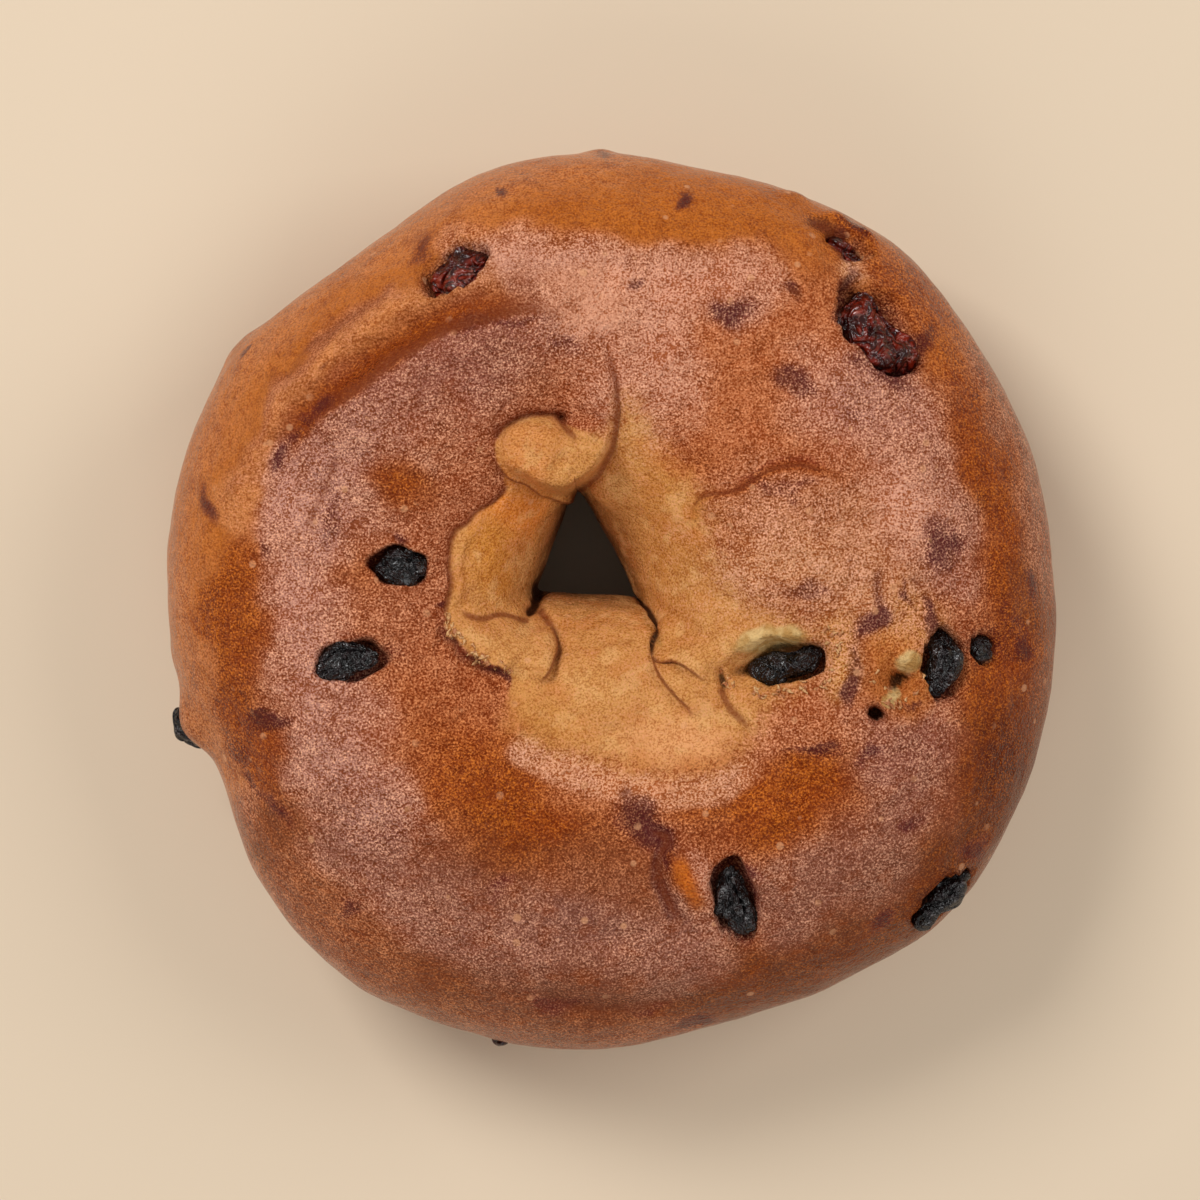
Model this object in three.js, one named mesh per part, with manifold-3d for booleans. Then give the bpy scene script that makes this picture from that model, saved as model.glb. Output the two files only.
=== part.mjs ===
// A raisin bagel: one uneven ring of boiled and baked dough, with the raisins that show in its crust.
// Its rope of dough was rolled into a ring, so three lobes press together round a small three-cornered
// hole, one rope end is folded over in a knob, and the crust is torn in a few places.
// Units are millimetres, +Z is up, and the origin is on the table under the middle of the bagel.

import * as THREE from "three";
import { mergeVertices } from "three/addons/utils/BufferGeometryUtils.js";
import Module from "manifold-3d";

const wasm = await Module();
wasm.setup();

// The ring of dough. It is widest at its waist, and its foot is baked flat against the tray.
const CROWN_HEIGHT = 36.5;
const WAIST_HEIGHT = 16;
const FOOT_DEPTH = 18.5; // how far below the waist the round section would reach if the tray didn't cut it
const CROWN_FULLNESS = 2.3; // exponent of the section: 2 is an ellipse, and more is fuller
const FOOT_FULLNESS = 2.9;
const RING_STEPS = 98;
const SECTION_STEPS = 46;
const FINE_SIDE = THREE.MathUtils.degToRad(138); // the section's steps crowd here, where the folds are
const FINE_SHARE = 0.58;

// The outline seen from above: its radius from the middle of the hole, at even turns from +X.
const HOLE_CENTRE = new THREE.Vector2(-3.1, 4.8);
const OUTLINE_RADII = [
  58.1, 56.8, 55.6, 55.3, 52.8, 50.9, 51.1, 50.1, 48.1, 48.6, 51.3, 51.7,
  52.2, 53.0, 52.8, 57.2, 60.2, 60.4, 60.8, 60.2, 61.0, 62.7, 61.7, 60.0,
];

// The three lobes whose walls close the hole: which way each wall lies from its middle, and how far.
const HOLE_WALLS = [
  { name: "left lobe", facing: 159, distance: 5.0 },
  { name: "right lobe", facing: 30, distance: 3.7 },
  { name: "tongue", facing: 266, distance: 4.2 },
];
const HOLE_CORNER_SHARPNESS = 10;

// The slow swell of the crust, which keeps the ring from looking turned on a lathe.
const SWELLS = [
  { height: 0.45, acrossX: 0.095, acrossY: 0.06, start: 0.4 },
  { height: 0.35, acrossX: -0.07, acrossY: 0.13, start: 2.1 },
  { height: 0.25, acrossX: 0.19, acrossY: 0.15, start: 4.0 },
];

// Domes in the crust, seen from above: middle, half length, half width, turn of the length, and height.
// A low roundness gives steep edges, and a negative height is a hollow.
const DOMES = [
  { name: "left rope end", at: [-9, 24], half: [12, 14], turn: 60, height: 1.3, roundness: 1.6 },
  { name: "knob", at: [-8.4, 18.4], half: [7.4, 5.4], turn: -6, height: 3.2, roundness: 1.3 },
  { name: "knob heel", at: [-3.6, 19.2], half: [4.6, 5.8], turn: 0, height: 1.5, roundness: 1.4 },
  { name: "left roll", at: [-14, 5], half: [5.5, 10.5], turn: -14, height: 1.1, roundness: 1.4 },
  { name: "torn flap", at: [-13.4, -4.8], half: [7.8, 5.0], turn: -24, height: 2.6, roundness: 1.2 },
  { name: "tongue", at: [-0.8, -7.0], half: [7.0, 9.5], turn: 0, height: 1.8, roundness: 1.4 },
  { name: "right roll", at: [11.5, -3.4], half: [8.5, 4.4], turn: -32, height: 1.3, roundness: 1.3 },
  { name: "small roll", at: [10.2, -11.4], half: [5.8, 3.2], turn: -28, height: 1.2, roundness: 1.3 },
  { name: "right blister", at: [19.5, 6], half: [10, 9], turn: -10, height: 0.9, roundness: 1.2 },
  { name: "gash", at: [19.6, -7.4], half: [7.6, 3.8], turn: 12, height: -2.8, roundness: 1.4 },
  { name: "bottom blister", at: [-0.6, -45.4], half: [9.5, 4.2], turn: 3, height: 1.0, roundness: 1.1 },
  { name: "amber window", at: [9.4, -32.3], half: [5.6, 3.8], turn: 108, height: 0.9, roundness: 1.1 },
  { name: "torn crater", at: [34.0, -9.2], half: [5.2, 3.6], turn: 50, height: -1.3, roundness: 1.2 },
  { name: "shoulder notch", at: [43.0, -30.0], half: [5, 3], turn: 50, height: -0.9, roundness: 1.3 },
  { name: "torn crag", at: [28.2, 43.0], half: [5.6, 3.6], turn: -42, height: -1.8, roundness: 1.1 },
];

// Furrows and ridges along smooth paths, seen from above. A negative height is a furrow.
// Fade is the share of the path over which each end dies out.
const CREASES = [
  {
    name: "seam",
    along: [[-1.8, 34], [-0.2, 29], [0.6, 24], [0.4, 19.6], [-1.6, 15.8], [-4.4, 13.2]],
    height: -1.9,
    width: 1.5,
    fade: [0.5, 0],
  },
  {
    name: "knob crown crease",
    along: [[-15, 16.6], [-14.6, 20.2], [-12.2, 22.8], [-8.8, 23.8], [-5.6, 23]],
    height: -1.3,
    width: 1.3,
    fade: [0.2, 0.2],
  },
  {
    name: "knob foot crease",
    along: [[-15.2, 17], [-13, 14.4], [-10.2, 12.9], [-7.4, 12.2]],
    height: -1.2,
    width: 1.4,
    fade: [0.2, 0.3],
  },
  {
    name: "lip line",
    along: [[-12.3, 14.4], [-15.8, 11.7], [-18.8, 9], [-20.1, 5.4], [-19.6, 1.8], [-20.8, -2]],
    height: -0.9,
    width: 1.3,
    fade: [0.3, 0.1],
  },
  {
    name: "flap edge",
    along: [[-20.8, -2], [-19.2, -5.6], [-16.6, -8.4], [-13.4, -10], [-10.4, -10.6], [-8.6, -13]],
    height: -1.4,
    width: 1.3,
    fade: [0.1, 0.3],
  },
  {
    name: "tongue left crease",
    along: [[-8.4, -1], [-6.8, -4], [-6.6, -7.6], [-8.2, -11.4]],
    height: -2.0,
    width: 1.4,
    fade: [0, 0.4],
  },
  {
    name: "tongue right crease",
    along: [[4.6, -1.4], [5.2, -5], [7.2, -7.6], [10, -8.4], [12.6, -10], [15.4, -12]],
    height: -2.2,
    width: 1.4,
    fade: [0, 0.25],
  },
  {
    name: "small fold",
    along: [[6.2, -9.6], [8.2, -13.6], [11.4, -16], [15.4, -18]],
    height: -0.9,
    width: 1.4,
    fade: [0.1, 0.6],
  },
  {
    name: "blister edge",
    along: [
      [10.4, 1.8], [9.5, 6.6], [9.7, 11.4], [12, 14], [15.6, 15.6], [19.4, 16.3], [23.3, 16.3],
      [27.1, 15], [30.2, 12.6],
    ],
    height: -0.8,
    width: 1.5,
    fade: [0.3, 0.4],
  },
  {
    name: "rim groove",
    along: [
      [-38.6, 15], [-36.6, 20.6], [-32.2, 24.8], [-26.8, 28.4], [-20.8, 31], [-14.8, 32.6],
      [-8.8, 33], [-3.8, 32.2], [-1.4, 29.7],
    ],
    height: -1.9,
    width: 2.4,
    fade: [0.25, 0.3],
  },
  {
    name: "rim ridge",
    along: [
      [-43.4, 9.6], [-41.4, 16.2], [-37.9, 23.1], [-32.7, 29.2], [-26.6, 33.3], [-19.8, 36.3],
      [-12.8, 37.7], [-6.4, 37.5], [-1.6, 35.6],
    ],
    height: 1.2,
    width: 2.8,
    fade: [0.3, 0.35],
  },
  {
    name: "outer groove",
    along: [[-46.6, 10.9], [-44.4, 18.7], [-40.6, 25.4], [-34.8, 32.1], [-27.5, 37.2], [-20.8, 39.8]],
    height: -0.7,
    width: 2,
    fade: [0.3, 0.3],
  },
  {
    name: "left arc",
    along: [[-30.8, 18], [-32.9, 14.4], [-34.3, 9.6], [-34.8, 4.8], [-33.7, -0.6]],
    height: -0.8,
    width: 1.8,
    fade: [0.3, 0.4],
  },
  {
    name: "bottom blister foot",
    along: [[-10.1, -47.4], [-5.8, -49.5], [-1, -50.3], [4.5, -49.8], [9.3, -47.5]],
    height: -0.9,
    width: 1.6,
    fade: [0.3, 0.3],
  },
  {
    name: "amber furrow",
    along: [[7, -27], [4.6, -31.8], [5.3, -36.6], [8.6, -40.4], [12.2, -41]],
    height: -0.8,
    width: 1.5,
    fade: [0.2, 0.3],
  },
];

// Lumps that stand out of the ring's side, past its smooth outline: middle, reach and height.
const LUMPS = [
  { name: "shelf under the left raisin", at: [-51.6, -14.6, 18], reach: 4.2, height: 1.3 },
  { name: "torn skin above it", at: [-54.2, -6.4, 16], reach: 2.6, height: 0.5 },
  { name: "crust crumb at the top", at: [-1.6, 55.4, 17], reach: 2.2, height: 0.7 },
  { name: "left shoulder", at: [-46.4, 31.2, 17], reach: 3.4, height: 0.6 },
];

// Raisins: middle seen from above, half length, half width and half thickness, turn of the length,
// and how far the middle lies under the crust. One with a level lies in the ring's side at that height.
const RAISINS = [
  { at: [-25.8, 4.1], half: [3.2, 2.2, 2.0], turn: 6, sunk: 1.3 },
  { at: [-31.4, -7.2], half: [3.7, 2.4, 2.0], turn: 14, sunk: 1.3 },
  { at: [14.7, -36.4], half: [4.7, 2.7, 2.2], turn: 99, sunk: 1.4 },
  { at: [21.0, -7.7], half: [4.5, 2.4, 2.2], turn: 12, sunk: 0.2 },
  { at: [40.0, -7.8], half: [4.3, 2.3, 2.1], turn: 84, sunk: 1.3 },
  { at: [45.1, -5.9], half: [1.7, 1.6, 1.4], turn: 0, sunk: 0.8 },
  { at: [40.9, -36.9], half: [4.5, 2.6, 2.1], turn: 40, sunk: 1.0 },
  { at: [-53.2, -16.2], level: 14.5, half: [3.4, 2.4, 2.0], turn: 100, sunk: -0.6 },
  { at: [-19.4, 40.0], half: [3.8, 3.1, 2.0], turn: 30, sunk: 1.3 },
  { at: [32.4, 33.0], half: [6.0, 4.1, 2.4], turn: -64, sunk: 1.5 },
  { at: [28.7, 43.0], half: [3.0, 1.7, 1.7], turn: -30, sunk: 0.6 },
  { at: [-13.6, -53.6], level: 15, half: [1.3, 1.1, 1.1], turn: 0, sunk: -0.3 },
];
const RAISIN_DETAIL = 2;
const RAISIN_GAP = 0.32; // clear space round each raisin in its pocket
const WRINKLE_DEPTH = 0.09; // as a share of the raisin's half sizes

const DOUGH = new THREE.MeshStandardMaterial({ color: 0xb0703c, roughness: 0.45, metalness: 0 });
const RAISIN_SKIN = new THREE.MeshStandardMaterial({ color: 0x2a1a1c, roughness: 0.35, metalness: 0 });

const { degToRad, smoothstep } = THREE.MathUtils;

// The outline's radius at a turn, on a smooth closed curve through the radii above.
function outlineRadius(turn) {
  const place = THREE.MathUtils.euclideanModulo(turn / (2 * Math.PI), 1) * OUTLINE_RADII.length;
  const index = Math.floor(place);
  const share = place - index;
  const count = OUTLINE_RADII.length;
  const [a, b, c, d] = [-1, 0, 1, 2].map((k) => OUTLINE_RADII[(index + k + count) % count]);
  return b + 0.5 * share * (c - a + share * (2 * a - 5 * b + 4 * c - d + share * (3 * (b - c) + d - a)));
}

// The radius of the hole's throat at a turn: three straight walls, rounded where they meet.
function throatRadius(turn) {
  let sum = 0;
  for (const wall of HOLE_WALLS) {
    const lean = Math.max(0, Math.cos(turn - degToRad(wall.facing)));
    sum += (lean / wall.distance) ** HOLE_CORNER_SHARPNESS;
  }
  return sum ** (-1 / HOLE_CORNER_SHARPNESS);
}

// A point of the plain ring, before its relief. Roll 0 is the outer waist and a quarter turn is the crown.
function ringPoint(turn, roll) {
  const outer = outlineRadius(turn);
  const inner = throatRadius(turn);
  const halfWidth = (outer - inner) / 2;
  const up = Math.sin(roll) > 0;
  const halfHeight = up ? CROWN_HEIGHT - WAIST_HEIGHT : FOOT_DEPTH;
  const fullness = up ? CROWN_FULLNESS : FOOT_FULLNESS;
  const reach =
    (Math.abs(Math.cos(roll) / halfWidth) ** fullness + Math.abs(Math.sin(roll) / halfHeight) ** fullness) **
    (-1 / fullness);
  const out = inner + halfWidth + reach * Math.cos(roll);
  return new THREE.Vector3(
    HOLE_CENTRE.x + out * Math.cos(turn),
    HOLE_CENTRE.y + out * Math.sin(turn),
    WAIST_HEIGHT + reach * Math.sin(roll),
  );
}

// How high a dome stands over a place, seen from above.
function domeHeight({ at, half, turn, height, roundness }, x, y) {
  const c = Math.cos(degToRad(turn));
  const s = Math.sin(degToRad(turn));
  const along = ((x - at[0]) * c + (y - at[1]) * s) / half[0];
  const across = ((y - at[1]) * c - (x - at[0]) * s) / half[1];
  return height * Math.max(0, 1 - along * along - across * across) ** roundness;
}

// The height of a crease over a place, from its distance to the crease's path.
for (const crease of CREASES) {
  crease.points = new THREE.SplineCurve(crease.along.map(([x, y]) => new THREE.Vector2(x, y))).getPoints(40);
}

function creaseHeight({ points, height, width, fade }, x, y) {
  let nearest = Infinity;
  let share = 0;
  points.forEach((p, i) => {
    const distance = Math.hypot(p.x - x, p.y - y);
    if (distance < nearest) {
      nearest = distance;
      share = i / (points.length - 1);
    }
  });
  const start = fade[0] ? smoothstep(share, 0, fade[0]) : 1;
  const end = fade[1] ? smoothstep(1 - share, 0, fade[1]) : 1;
  return height * Math.exp(-((nearest / width) ** 2)) * start * end;
}

// How far the crust stands out from the plain ring at a place. Only the lumps reach below the waist.
function relief(p) {
  let height = 0;
  for (const { height: h, acrossX, acrossY, start } of SWELLS) {
    height += h * Math.sin(acrossX * p.x + acrossY * p.y + start);
  }
  for (const dome of DOMES) height += domeHeight(dome, p.x, p.y);
  for (const crease of CREASES) height += creaseHeight(crease, p.x, p.y);
  height *= smoothstep(p.z, WAIST_HEIGHT - 3, WAIST_HEIGHT + 6);
  for (const lump of LUMPS) {
    height += lump.height * Math.exp(-((p.distanceTo(new THREE.Vector3(...lump.at)) / lump.reach) ** 2));
  }
  return height;
}

// The dough's skin: a torus whose points are moved to the ring, then out along its normals by the relief.
function doughGeometry() {
  const torus = new THREE.TorusGeometry(2, 1, SECTION_STEPS, RING_STEPS);
  const places = torus.attributes.position;
  for (let i = 0; i < places.count; i++) {
    const p = new THREE.Vector3().fromBufferAttribute(places, i);
    const turn = Math.atan2(p.y, p.x);
    const even = Math.atan2(p.z, Math.hypot(p.x, p.y) - 2);
    const roll = even - FINE_SHARE * Math.sin(even - FINE_SIDE);
    places.setXYZ(i, ...ringPoint(turn, roll));
  }
  torus.deleteAttribute("normal");
  torus.deleteAttribute("uv");
  const skin = mergeVertices(torus, 1e-3);
  skin.computeVertexNormals();
  const { position, normal } = skin.attributes;
  for (let i = 0; i < position.count; i++) {
    const p = new THREE.Vector3().fromBufferAttribute(position, i);
    const n = new THREE.Vector3().fromBufferAttribute(normal, i);
    p.addScaledVector(n, relief(p));
    position.setXYZ(i, p.x, p.y, Math.max(0, p.z));
  }
  shortenDiagonals(skin);
  skin.computeVertexNormals();
  return skin;
}

// Halves each four-sided cell of the grid along its shorter diagonal, which keeps steep folds smooth.
function shortenDiagonals(skin) {
  const corner = (k) => new THREE.Vector3().fromBufferAttribute(skin.attributes.position, k);
  for (let i = 0; i < skin.index.count; i += 6) {
    const [a, b, d, , c] = skin.index.array.slice(i, i + 6);
    if (corner(a).distanceTo(corner(c)) < corner(b).distanceTo(corner(d))) {
      skin.index.array.set([a, b, c, a, c, d], i);
    }
  }
}

// The place on the dough's skin over (x, y), and the skin's normal there. A level asks for the place
// on the outer side at that height instead.
function onSkin(skin, [x, y], level) {
  const target = new THREE.Vector3(x, y, level ?? WAIST_HEIGHT);
  const toward = new THREE.Vector3(0, 0, -1);
  if (level !== undefined) toward.set(HOLE_CENTRE.x - x, HOLE_CENTRE.y - y, 0).normalize();
  const start = target.clone().addScaledVector(toward, -2 * CROWN_HEIGHT);
  const [hit] = new THREE.Raycaster(start, toward).intersectObject(new THREE.Mesh(skin));
  return { place: hit.point, normal: hit.normal };
}

// A raisin: a shrunken ellipsoid with a few wrinkles along its length, lying in the skin at its place.
function raisinGeometry({ at, level, half, turn, sunk }, skin) {
  const shape = new THREE.IcosahedronGeometry(1, RAISIN_DETAIL);
  shape.deleteAttribute("normal");
  shape.deleteAttribute("uv");
  const raisin = mergeVertices(shape, 1e-3);
  const places = raisin.attributes.position;
  for (let i = 0; i < places.count; i++) {
    const p = new THREE.Vector3().fromBufferAttribute(places, i);
    const round = Math.atan2(p.z, p.y);
    p.multiplyScalar(1 + WRINKLE_DEPTH * Math.sin(3 * round + 2 * p.x + at[0]) * (1 - p.x * p.x));
    places.setXYZ(i, p.x * half[0], p.y * half[1], p.z * half[2]);
  }
  const { place, normal } = onSkin(skin, at, level);
  const heading = new THREE.Vector3(Math.cos(degToRad(turn)), Math.sin(degToRad(turn)), 0);
  const side = new THREE.Vector3().crossVectors(normal, heading).normalize();
  const length = new THREE.Vector3().crossVectors(side, normal);
  raisin.applyMatrix4(
    new THREE.Matrix4().makeBasis(length, side, normal).setPosition(place.addScaledVector(normal, -sunk)),
  );
  raisin.computeVertexNormals();
  return raisin;
}

// A copy of a closed geometry, grown outward by a gap.
function grown(geometry, gap) {
  const copy = geometry.clone();
  const { position, normal } = copy.attributes;
  for (let i = 0; i < position.count; i++) {
    const n = new THREE.Vector3().fromBufferAttribute(normal, i);
    const p = new THREE.Vector3().fromBufferAttribute(position, i).addScaledVector(n, gap);
    position.setXYZ(i, p.x, p.y, p.z);
  }
  return copy;
}

// Conversions between a geometry and a solid that can be cut.
function toSolid(geometry) {
  return new wasm.Manifold(
    new wasm.Mesh({
      numProp: 3,
      vertProperties: new Float32Array(geometry.attributes.position.array),
      triVerts: new Uint32Array(geometry.index.array),
    }),
  );
}

function toGeometry(solid) {
  const { vertProperties, triVerts } = solid.getMesh();
  const geometry = new THREE.BufferGeometry();
  geometry.setAttribute("position", new THREE.BufferAttribute(vertProperties, 3));
  geometry.setIndex(new THREE.BufferAttribute(triVerts, 1));
  geometry.computeVertexNormals();
  return geometry;
}

const bagel = new THREE.Group();
const skin = doughGeometry();
let dough = toSolid(skin);
RAISINS.forEach((raisin, i) => {
  const geometry = raisinGeometry(raisin, skin);
  dough = dough.subtract(toSolid(grown(geometry, RAISIN_GAP)));
  const mesh = new THREE.Mesh(geometry, RAISIN_SKIN);
  mesh.name = `raisin_${i + 1}`;
  bagel.add(mesh);
});
const doughMesh = new THREE.Mesh(toGeometry(dough), DOUGH);
doughMesh.name = "dough";
bagel.add(doughMesh);

export default bagel;
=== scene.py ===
import math
import random

import bmesh
import bpy
import numpy as np
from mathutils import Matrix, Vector, noise
from mathutils.bvhtree import BVHTree


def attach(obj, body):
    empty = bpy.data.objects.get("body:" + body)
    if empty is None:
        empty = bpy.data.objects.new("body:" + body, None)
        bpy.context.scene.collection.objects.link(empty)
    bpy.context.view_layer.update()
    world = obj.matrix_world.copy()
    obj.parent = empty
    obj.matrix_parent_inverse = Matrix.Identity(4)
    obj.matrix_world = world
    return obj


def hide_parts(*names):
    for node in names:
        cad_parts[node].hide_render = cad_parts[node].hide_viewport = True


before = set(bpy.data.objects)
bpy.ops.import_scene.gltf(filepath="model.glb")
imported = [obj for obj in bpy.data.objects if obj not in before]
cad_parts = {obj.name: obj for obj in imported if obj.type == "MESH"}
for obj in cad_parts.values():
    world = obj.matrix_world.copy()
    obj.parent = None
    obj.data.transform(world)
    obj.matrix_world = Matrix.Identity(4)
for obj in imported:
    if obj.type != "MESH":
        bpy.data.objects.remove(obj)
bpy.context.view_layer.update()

# Dough: one rope of enriched dough rolled into a ring, boiled and baked, so three lobes press together
# round a small three-cornered hole. It is made as one closed grid, turn by turn round the hole and roll
# by roll round its section, and its folds, blisters and pockets are pushed out of or into that skin.
MM = 0.001  # sizes below are in millimetres, and meshes are made in metres
CROWN_HEIGHT = 36.5
WAIST_HEIGHT = 16
FOOT_DEPTH = 18.5
CROWN_FULLNESS = 2.3
FOOT_FULLNESS = 2.9
RING_STEPS = 500
SECTION_STEPS = 198
FINE_SIDE = math.radians(122)
FINE_SHARE = 0.5
HOLE_CENTRE = (-3.1, 4.8)
OUTLINE_RADII = np.array([
    58.1, 56.8, 55.6, 55.3, 52.8, 50.9, 51.1, 50.1, 48.1, 48.6, 51.3, 51.7,
    52.2, 53.0, 52.8, 57.2, 60.2, 60.4, 60.8, 60.2, 61.0, 62.7, 61.7, 60.0,
])
HOLE_WALLS = {"left lobe": (159, 5.0), "right lobe": (30, 3.7), "tongue": (266, 4.2)}
HOLE_CORNER_SHARPNESS = 10


def smooth_step(value, low, high):
    """0 below low, 1 above high, and a smooth rise between."""
    share = np.clip((value - low) / (high - low), 0, 1)
    return share * share * (3 - 2 * share)


def catmull(a, b, c, d, share):
    """A place between b and c on the smooth curve through four points."""
    return b + 0.5 * share * (c - a + share * (2 * a - 5 * b + 4 * c - d + share * (3 * (b - c) + d - a)))


def outline_radius(turn):
    """How far the outline is from the hole's centre, on a smooth curve through the radii."""
    place = turn / (2 * math.pi) * len(OUTLINE_RADII)
    index = np.floor(place).astype(int)
    a, b, c, d = (OUTLINE_RADII[(index + k) % len(OUTLINE_RADII)] for k in (-1, 0, 1, 2))
    return catmull(a, b, c, d, place - index)


def throat_radius(turn):
    """How far the hole's wall is from its centre: three straight walls with rounded corners."""
    total = 0
    for facing, distance in HOLE_WALLS.values():
        lean = np.maximum(0, np.cos(turn - math.radians(facing)))
        total = total + (lean / distance) ** HOLE_CORNER_SHARPNESS
    return total ** (-1 / HOLE_CORNER_SHARPNESS)


even = np.arange(SECTION_STEPS) * 2 * math.pi / SECTION_STEPS
turn, roll = np.meshgrid(
    np.arange(RING_STEPS) * 2 * math.pi / RING_STEPS,
    even - FINE_SHARE * np.sin(even - FINE_SIDE),
    indexing="ij",
)
outer = outline_radius(turn)
inner = throat_radius(turn)
half_width = (outer - inner) / 2
half_height = np.where(np.sin(roll) > 0, CROWN_HEIGHT - WAIST_HEIGHT, FOOT_DEPTH)
fullness = np.where(np.sin(roll) > 0, CROWN_FULLNESS, FOOT_FULLNESS)
reach = (
    np.abs(np.cos(roll) / half_width) ** fullness + np.abs(np.sin(roll) / half_height) ** fullness
) ** (-1 / fullness)
out = inner + half_width + reach * np.cos(roll)
skin = np.stack(
    [
        HOLE_CENTRE[0] + out * np.cos(turn),
        HOLE_CENTRE[1] + out * np.sin(turn),
        WAIST_HEIGHT + reach * np.sin(roll),
    ],
    axis=2,
)


def grid_normals(points):
    """The outward direction of the skin at each point of the grid."""
    around = np.roll(points, -1, 0) - np.roll(points, 1, 0)
    across = np.roll(points, -1, 1) - np.roll(points, 1, 1)
    normal = np.cross(around, across)
    return normal / np.linalg.norm(normal, axis=2, keepdims=True)


def unevenness(points, size, seed):
    """Smooth noise between about -1 and 1 at each point, with lumps of the given size."""
    shift = Vector((seed, 2 * seed, -seed))
    flat = (points / size).reshape(-1, 3)
    return np.array([noise.noise(Vector(p) + shift) for p in flat]).reshape(points.shape[:2]) * 2


def smooth_path(points, steps=8):
    """The points of a smooth curve through the given ones."""
    ends = [2 * points[0] - points[1], *points, 2 * points[-1] - points[-2]]
    curve = [
        catmull(*ends[i:i + 4], step / steps) for i in range(len(points) - 1) for step in range(steps)
    ]
    return np.array([*curve, points[-1]])


def follow(points, x, y, reach):
    """For each place: its distance to a smooth path, which side of it (1 is left), how far along, and the
    path's heading there. Places beyond reach get a distance far beyond it."""
    line = smooth_path(np.array(points, float))
    distance = np.full(x.shape, 99.0)
    side, along, heading = np.zeros(x.shape), np.zeros(x.shape), np.zeros(x.shape)
    low, high = line.min(0) - reach, line.max(0) + reach
    near = (x > low[0]) & (x < high[0]) & (y > low[1]) & (y < high[1])
    px, py = x[near], y[near]
    best = np.full(px.shape, 99.0)
    found = np.zeros((3, len(px)))
    for i, (start, end) in enumerate(zip(line[:-1], line[1:])):
        step = end - start
        share = np.clip(((px - start[0]) * step[0] + (py - start[1]) * step[1]) / (step @ step), 0, 1)
        dx = px - start[0] - share * step[0]
        dy = py - start[1] - share * step[1]
        apart = np.hypot(dx, dy)
        closer = apart < best
        best[closer] = apart[closer]
        found[0, closer] = np.sign(step[0] * dy - step[1] * dx)[closer]
        found[1, closer] = ((i + share) / (len(line) - 1))[closer]
        found[2, closer] = math.atan2(step[1], step[0])
    distance[near] = best
    side[near], along[near], heading[near] = found
    return distance, side, along, heading


def fading(along, fade):
    """1 along a path, falling to 0 at each end over that end's share of it."""
    start = smooth_step(along, 0, fade[0]) if fade[0] else 1
    end = smooth_step(1 - along, 0, fade[1]) if fade[1] else 1
    return start * end


def oval(x, y, at, half, turn):
    """The distance from an oval's middle, as a share of its radius that way."""
    c, s = math.cos(math.radians(turn)), math.sin(math.radians(turn))
    along = ((x - at[0]) * c + (y - at[1]) * s) / half[0]
    across = ((y - at[1]) * c - (x - at[0]) * s) / half[1]
    return np.hypot(along, across)


# Slow swells: height, steps across x and y, and where the wave starts.
SWELLS = [(0.45, 0.095, 0.06, 0.4), (0.35, -0.07, 0.13, 2.1), (0.25, 0.19, 0.15, 4.0)]

# Domes and hollows seen from above: middle, half sizes, turn, height and roundness of the edge.
DOMES = {
    "left rope end": ([-9, 24], [12, 14], 60, 0.8, 1.6),
    "left roll": ([-14, 5], [5.5, 10.5], -14, 1.1, 1.4),
    "torn flap": ([-13.3, -5.2], [7.4, 4.0], -24, 1.9, 0.9),
    "tongue": ([-0.8, -7.0], [7.0, 9.5], 0, 1.8, 1.4),
    "right roll": ([11.5, -4.2], [8.5, 4.4], -32, 1.3, 1.2),
    "small roll": ([9.4, -10.8], [4.6, 2.2], -50, 0.7, 1.4),
    "right blister": ([19.5, 6], [10, 9], -10, 0.9, 1.2),
    "gash": ([19.4, -7.6], [7.4, 3.0], 10, -2.6, 1.1),
    "pulp in the gash": ([18.6, -4.6], [4.9, 2.0], 8, 0.9, 1.2),
    "gash's left pit": ([15.6, -8.6], [1.8, 0.8], 20, -1.4, 0.8),
    "gash's torn slot": ([13.3, -9.9], [0.8, 1.5], 15, -1.2, 0.8),
    "bottom blister": ([-0.6, -45.4], [9.5, 4.0], 3, 1.0, 0.9),
    "amber window": ([9.2, -32.8], [5.0, 2.8], 116, 1.0, 0.8),
    "torn crater": ([34.2, -9.4], [4.6, 2.8], 40, -1.3, 1.0),
    "crater's hollow": ([34.3, -9.8], [2.1, 1.1], 15, -1.6, 0.7),
    "crater's pulp": ([35.5, -7.6], [2.1, 1.4], 40, 1.5, 0.8),
    "crater's lower pulp": ([33.2, -11.4], [1.5, 1.0], 50, 1.1, 0.8),
    "steam hole": ([31.7, -13.7], [1.25, 1.05], 0, -3.4, 0.5),
    "shoulder notch": ([43.0, -30.0], [4.4, 2.2], 50, -0.9, 1.2),
    "torn crag": ([28.2, 43.0], [5.0, 2.8], -42, -1.8, 0.9),
    "left lobe crown": ([-24, 20], [15, 11], 40, 0.4, 1.4),
}

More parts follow.
